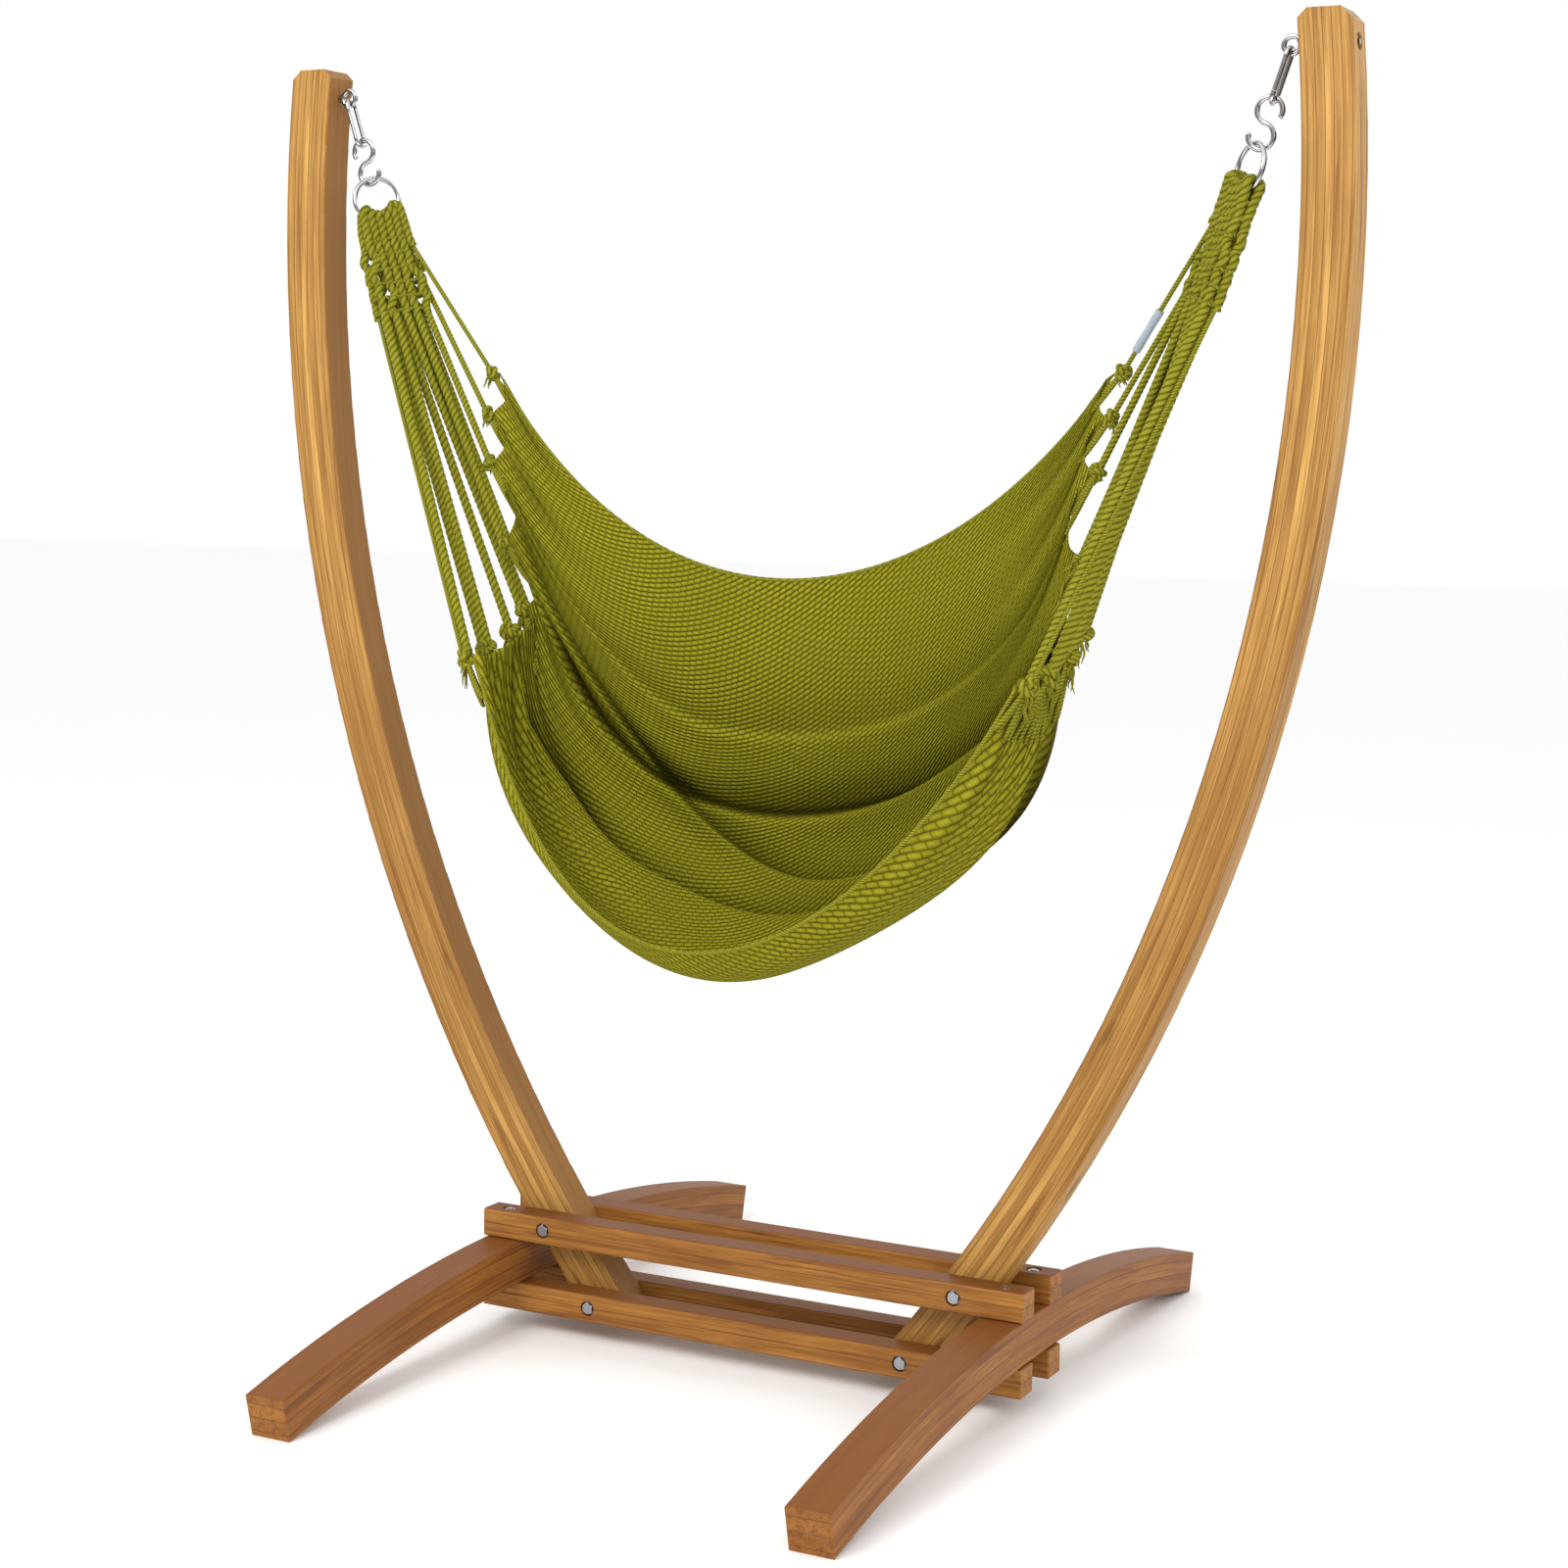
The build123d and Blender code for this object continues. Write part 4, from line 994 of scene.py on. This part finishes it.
class HAMMOCK_OT_make_label(bpy.types.Operator):
    """Make the grey label sleeve on the right back corner's cord"""
    bl_idname = "hammock.make_label"
    bl_label = "Label sleeve"

    def execute(self, context):
        start, end = cord_ends()[-1]
        along = unit(start - end)
        s = np.linspace(0, 1, 40)[:, None]
        path = end + along * (LABEL_UP + LABEL_LENGTH * s)
        skin = Skin()
        thickness = 0.0128 + 0.0006 * np.sin(9 * s)
        skin.add_cord(path, thickness, (0.0, 1.0, 0.0), 28, strands=2, lay=1e3, hollow=0.10)
        label = skin.make("label_tube")
        label.data.materials.append(sleeve_cloth())
        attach(label, "hammock")
        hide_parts("label_sleeve")
        return {"FINISHED"}


class HAMMOCK_OT_make_stage(bpy.types.Operator):
    """Make the pale floor, the soft lights and the camera"""
    bl_idname = "hammock.make_stage"
    bl_label = "Stage"

    def execute(self, context):
        settings = context.scene.hammock_stage
        half = settings.floor_size / 2
        corners = np.array([(-half, -half, 0), (half, -half, 0), (half, half, 0), (-half, half, 0)])
        floor = put_mesh("floor", corners, [[0, 1, 2, 3]], smooth=False)
        nodes = Nodes("pale_floor")
        floor.data.materials.append(nodes.finish((*settings.floor_colour, 1.0), 0.9))
        self.lights(context)
        self.camera(context, settings)
        return {"FINISHED"}

    def lights(self, context):
        """White surroundings and three large soft lamps aimed at the seat."""
        world = bpy.data.worlds.new("studio")
        world.use_nodes = True
        background = world.node_tree.nodes["Background"]
        background.inputs["Color"].default_value = (1.0, 1.0, 1.0, 1.0)
        background.inputs["Strength"].default_value = 1.0
        context.scene.world = world
        context.scene.view_settings.view_transform = "Standard"
        lamps = [
            ("key", (-0.8, -4.4, 4.2), 2.0, 150.0),
            ("fill", (3.8, -2.6, 2.6), 2.5, 40.0),
            ("rim", (0.5, 3.6, 3.6), 3.0, 30.0),
        ]
        for name, place, size, power in lamps:
            light = bpy.data.lights.new(name, "AREA")
            light.size, light.energy = size, power
            lamp = bpy.data.objects.new(name, light)
            lamp.location = place
            aim = Vector((0.0, 0.0, 1.0)) - Vector(place)
            lamp.rotation_euler = aim.to_track_quat("-Z", "Y").to_euler()
            context.scene.collection.objects.link(lamp)

    def camera(self, context, settings):
        """Camera to the front right, turned by yaw, then pitch, then roll."""
        data = bpy.data.cameras.new("camera")
        data.sensor_width, data.lens = 36.0, settings.lens
        data.shift_x, data.shift_y = 0.0215, -0.0042
        data.clip_end = 200.0
        camera = bpy.data.objects.new("camera", data)
        yaw, pitch, roll = 0.48637, -0.11257, 0.01399
        level = Vector((math.cos(yaw), math.sin(yaw), 0.0))
        flat_ahead = Vector((-math.sin(yaw), math.cos(yaw), 0.0))
        ahead = flat_ahead * math.cos(pitch) + Vector((0.0, 0.0, math.sin(pitch)))
        upright = level.cross(ahead)
        right = level * math.cos(roll) + upright * math.sin(roll)
        up = upright * math.cos(roll) - level * math.sin(roll)
        turn = Matrix((right, up, -ahead)).transposed()
        camera.matrix_world = Matrix.Translation((2.02503, -3.89509, 1.42709)) @ turn.to_4x4()
        context.scene.collection.objects.link(camera)
        context.scene.camera = camera


class HAMMOCK_PT_panel(bpy.types.Panel):
    """Lists the sizes and colours, and a button for each piece"""
    bl_label = "Hammock Chair"
    bl_idname = "HAMMOCK_PT_panel"
    bl_space_type = "VIEW_3D"
    bl_region_type = "UI"
    bl_category = "Hammock"

    def draw(self, context):
        for group in ("hammock_cloth", "hammock_cords", "hammock_wood", "hammock_stage"):
            settings = getattr(context.scene, group)
            box = self.layout.box()
            for name in settings.__annotations__:
                box.prop(settings, name)
        for operator in OPERATORS:
            self.layout.operator(operator.bl_idname)


GROUPS = {
    "hammock_cloth": HammockClothSettings,
    "hammock_cords": HammockCordSettings,
    "hammock_wood": HammockWoodSettings,
    "hammock_stage": HammockStageSettings,
}
OPERATORS = (
    HAMMOCK_OT_paint_wood,
    HAMMOCK_OT_paint_metal,
    HAMMOCK_OT_make_cords,
    HAMMOCK_OT_make_heads,
    HAMMOCK_OT_make_knots,
    HAMMOCK_OT_make_cloth,
    HAMMOCK_OT_make_label,
    HAMMOCK_OT_make_stage,
)


def register():
    for kind in (*GROUPS.values(), *OPERATORS, HAMMOCK_PT_panel):
        bpy.utils.register_class(kind)
    for name, kind in GROUPS.items():
        setattr(bpy.types.Scene, name, bpy.props.PointerProperty(type=kind))


def unregister():
    for name in GROUPS:
        delattr(bpy.types.Scene, name)
    for kind in reversed((*GROUPS.values(), *OPERATORS, HAMMOCK_PT_panel)):
        bpy.utils.unregister_class(kind)


def main():
    register()
    bpy.ops.hammock.paint_wood()
    bpy.ops.hammock.paint_metal()
    bpy.ops.hammock.make_cords()
    bpy.ops.hammock.make_heads()
    bpy.ops.hammock.make_knots()
    bpy.ops.hammock.make_cloth()
    bpy.ops.hammock.make_label()
    bpy.ops.hammock.make_stage()


if __name__ == "__main__":
    main()
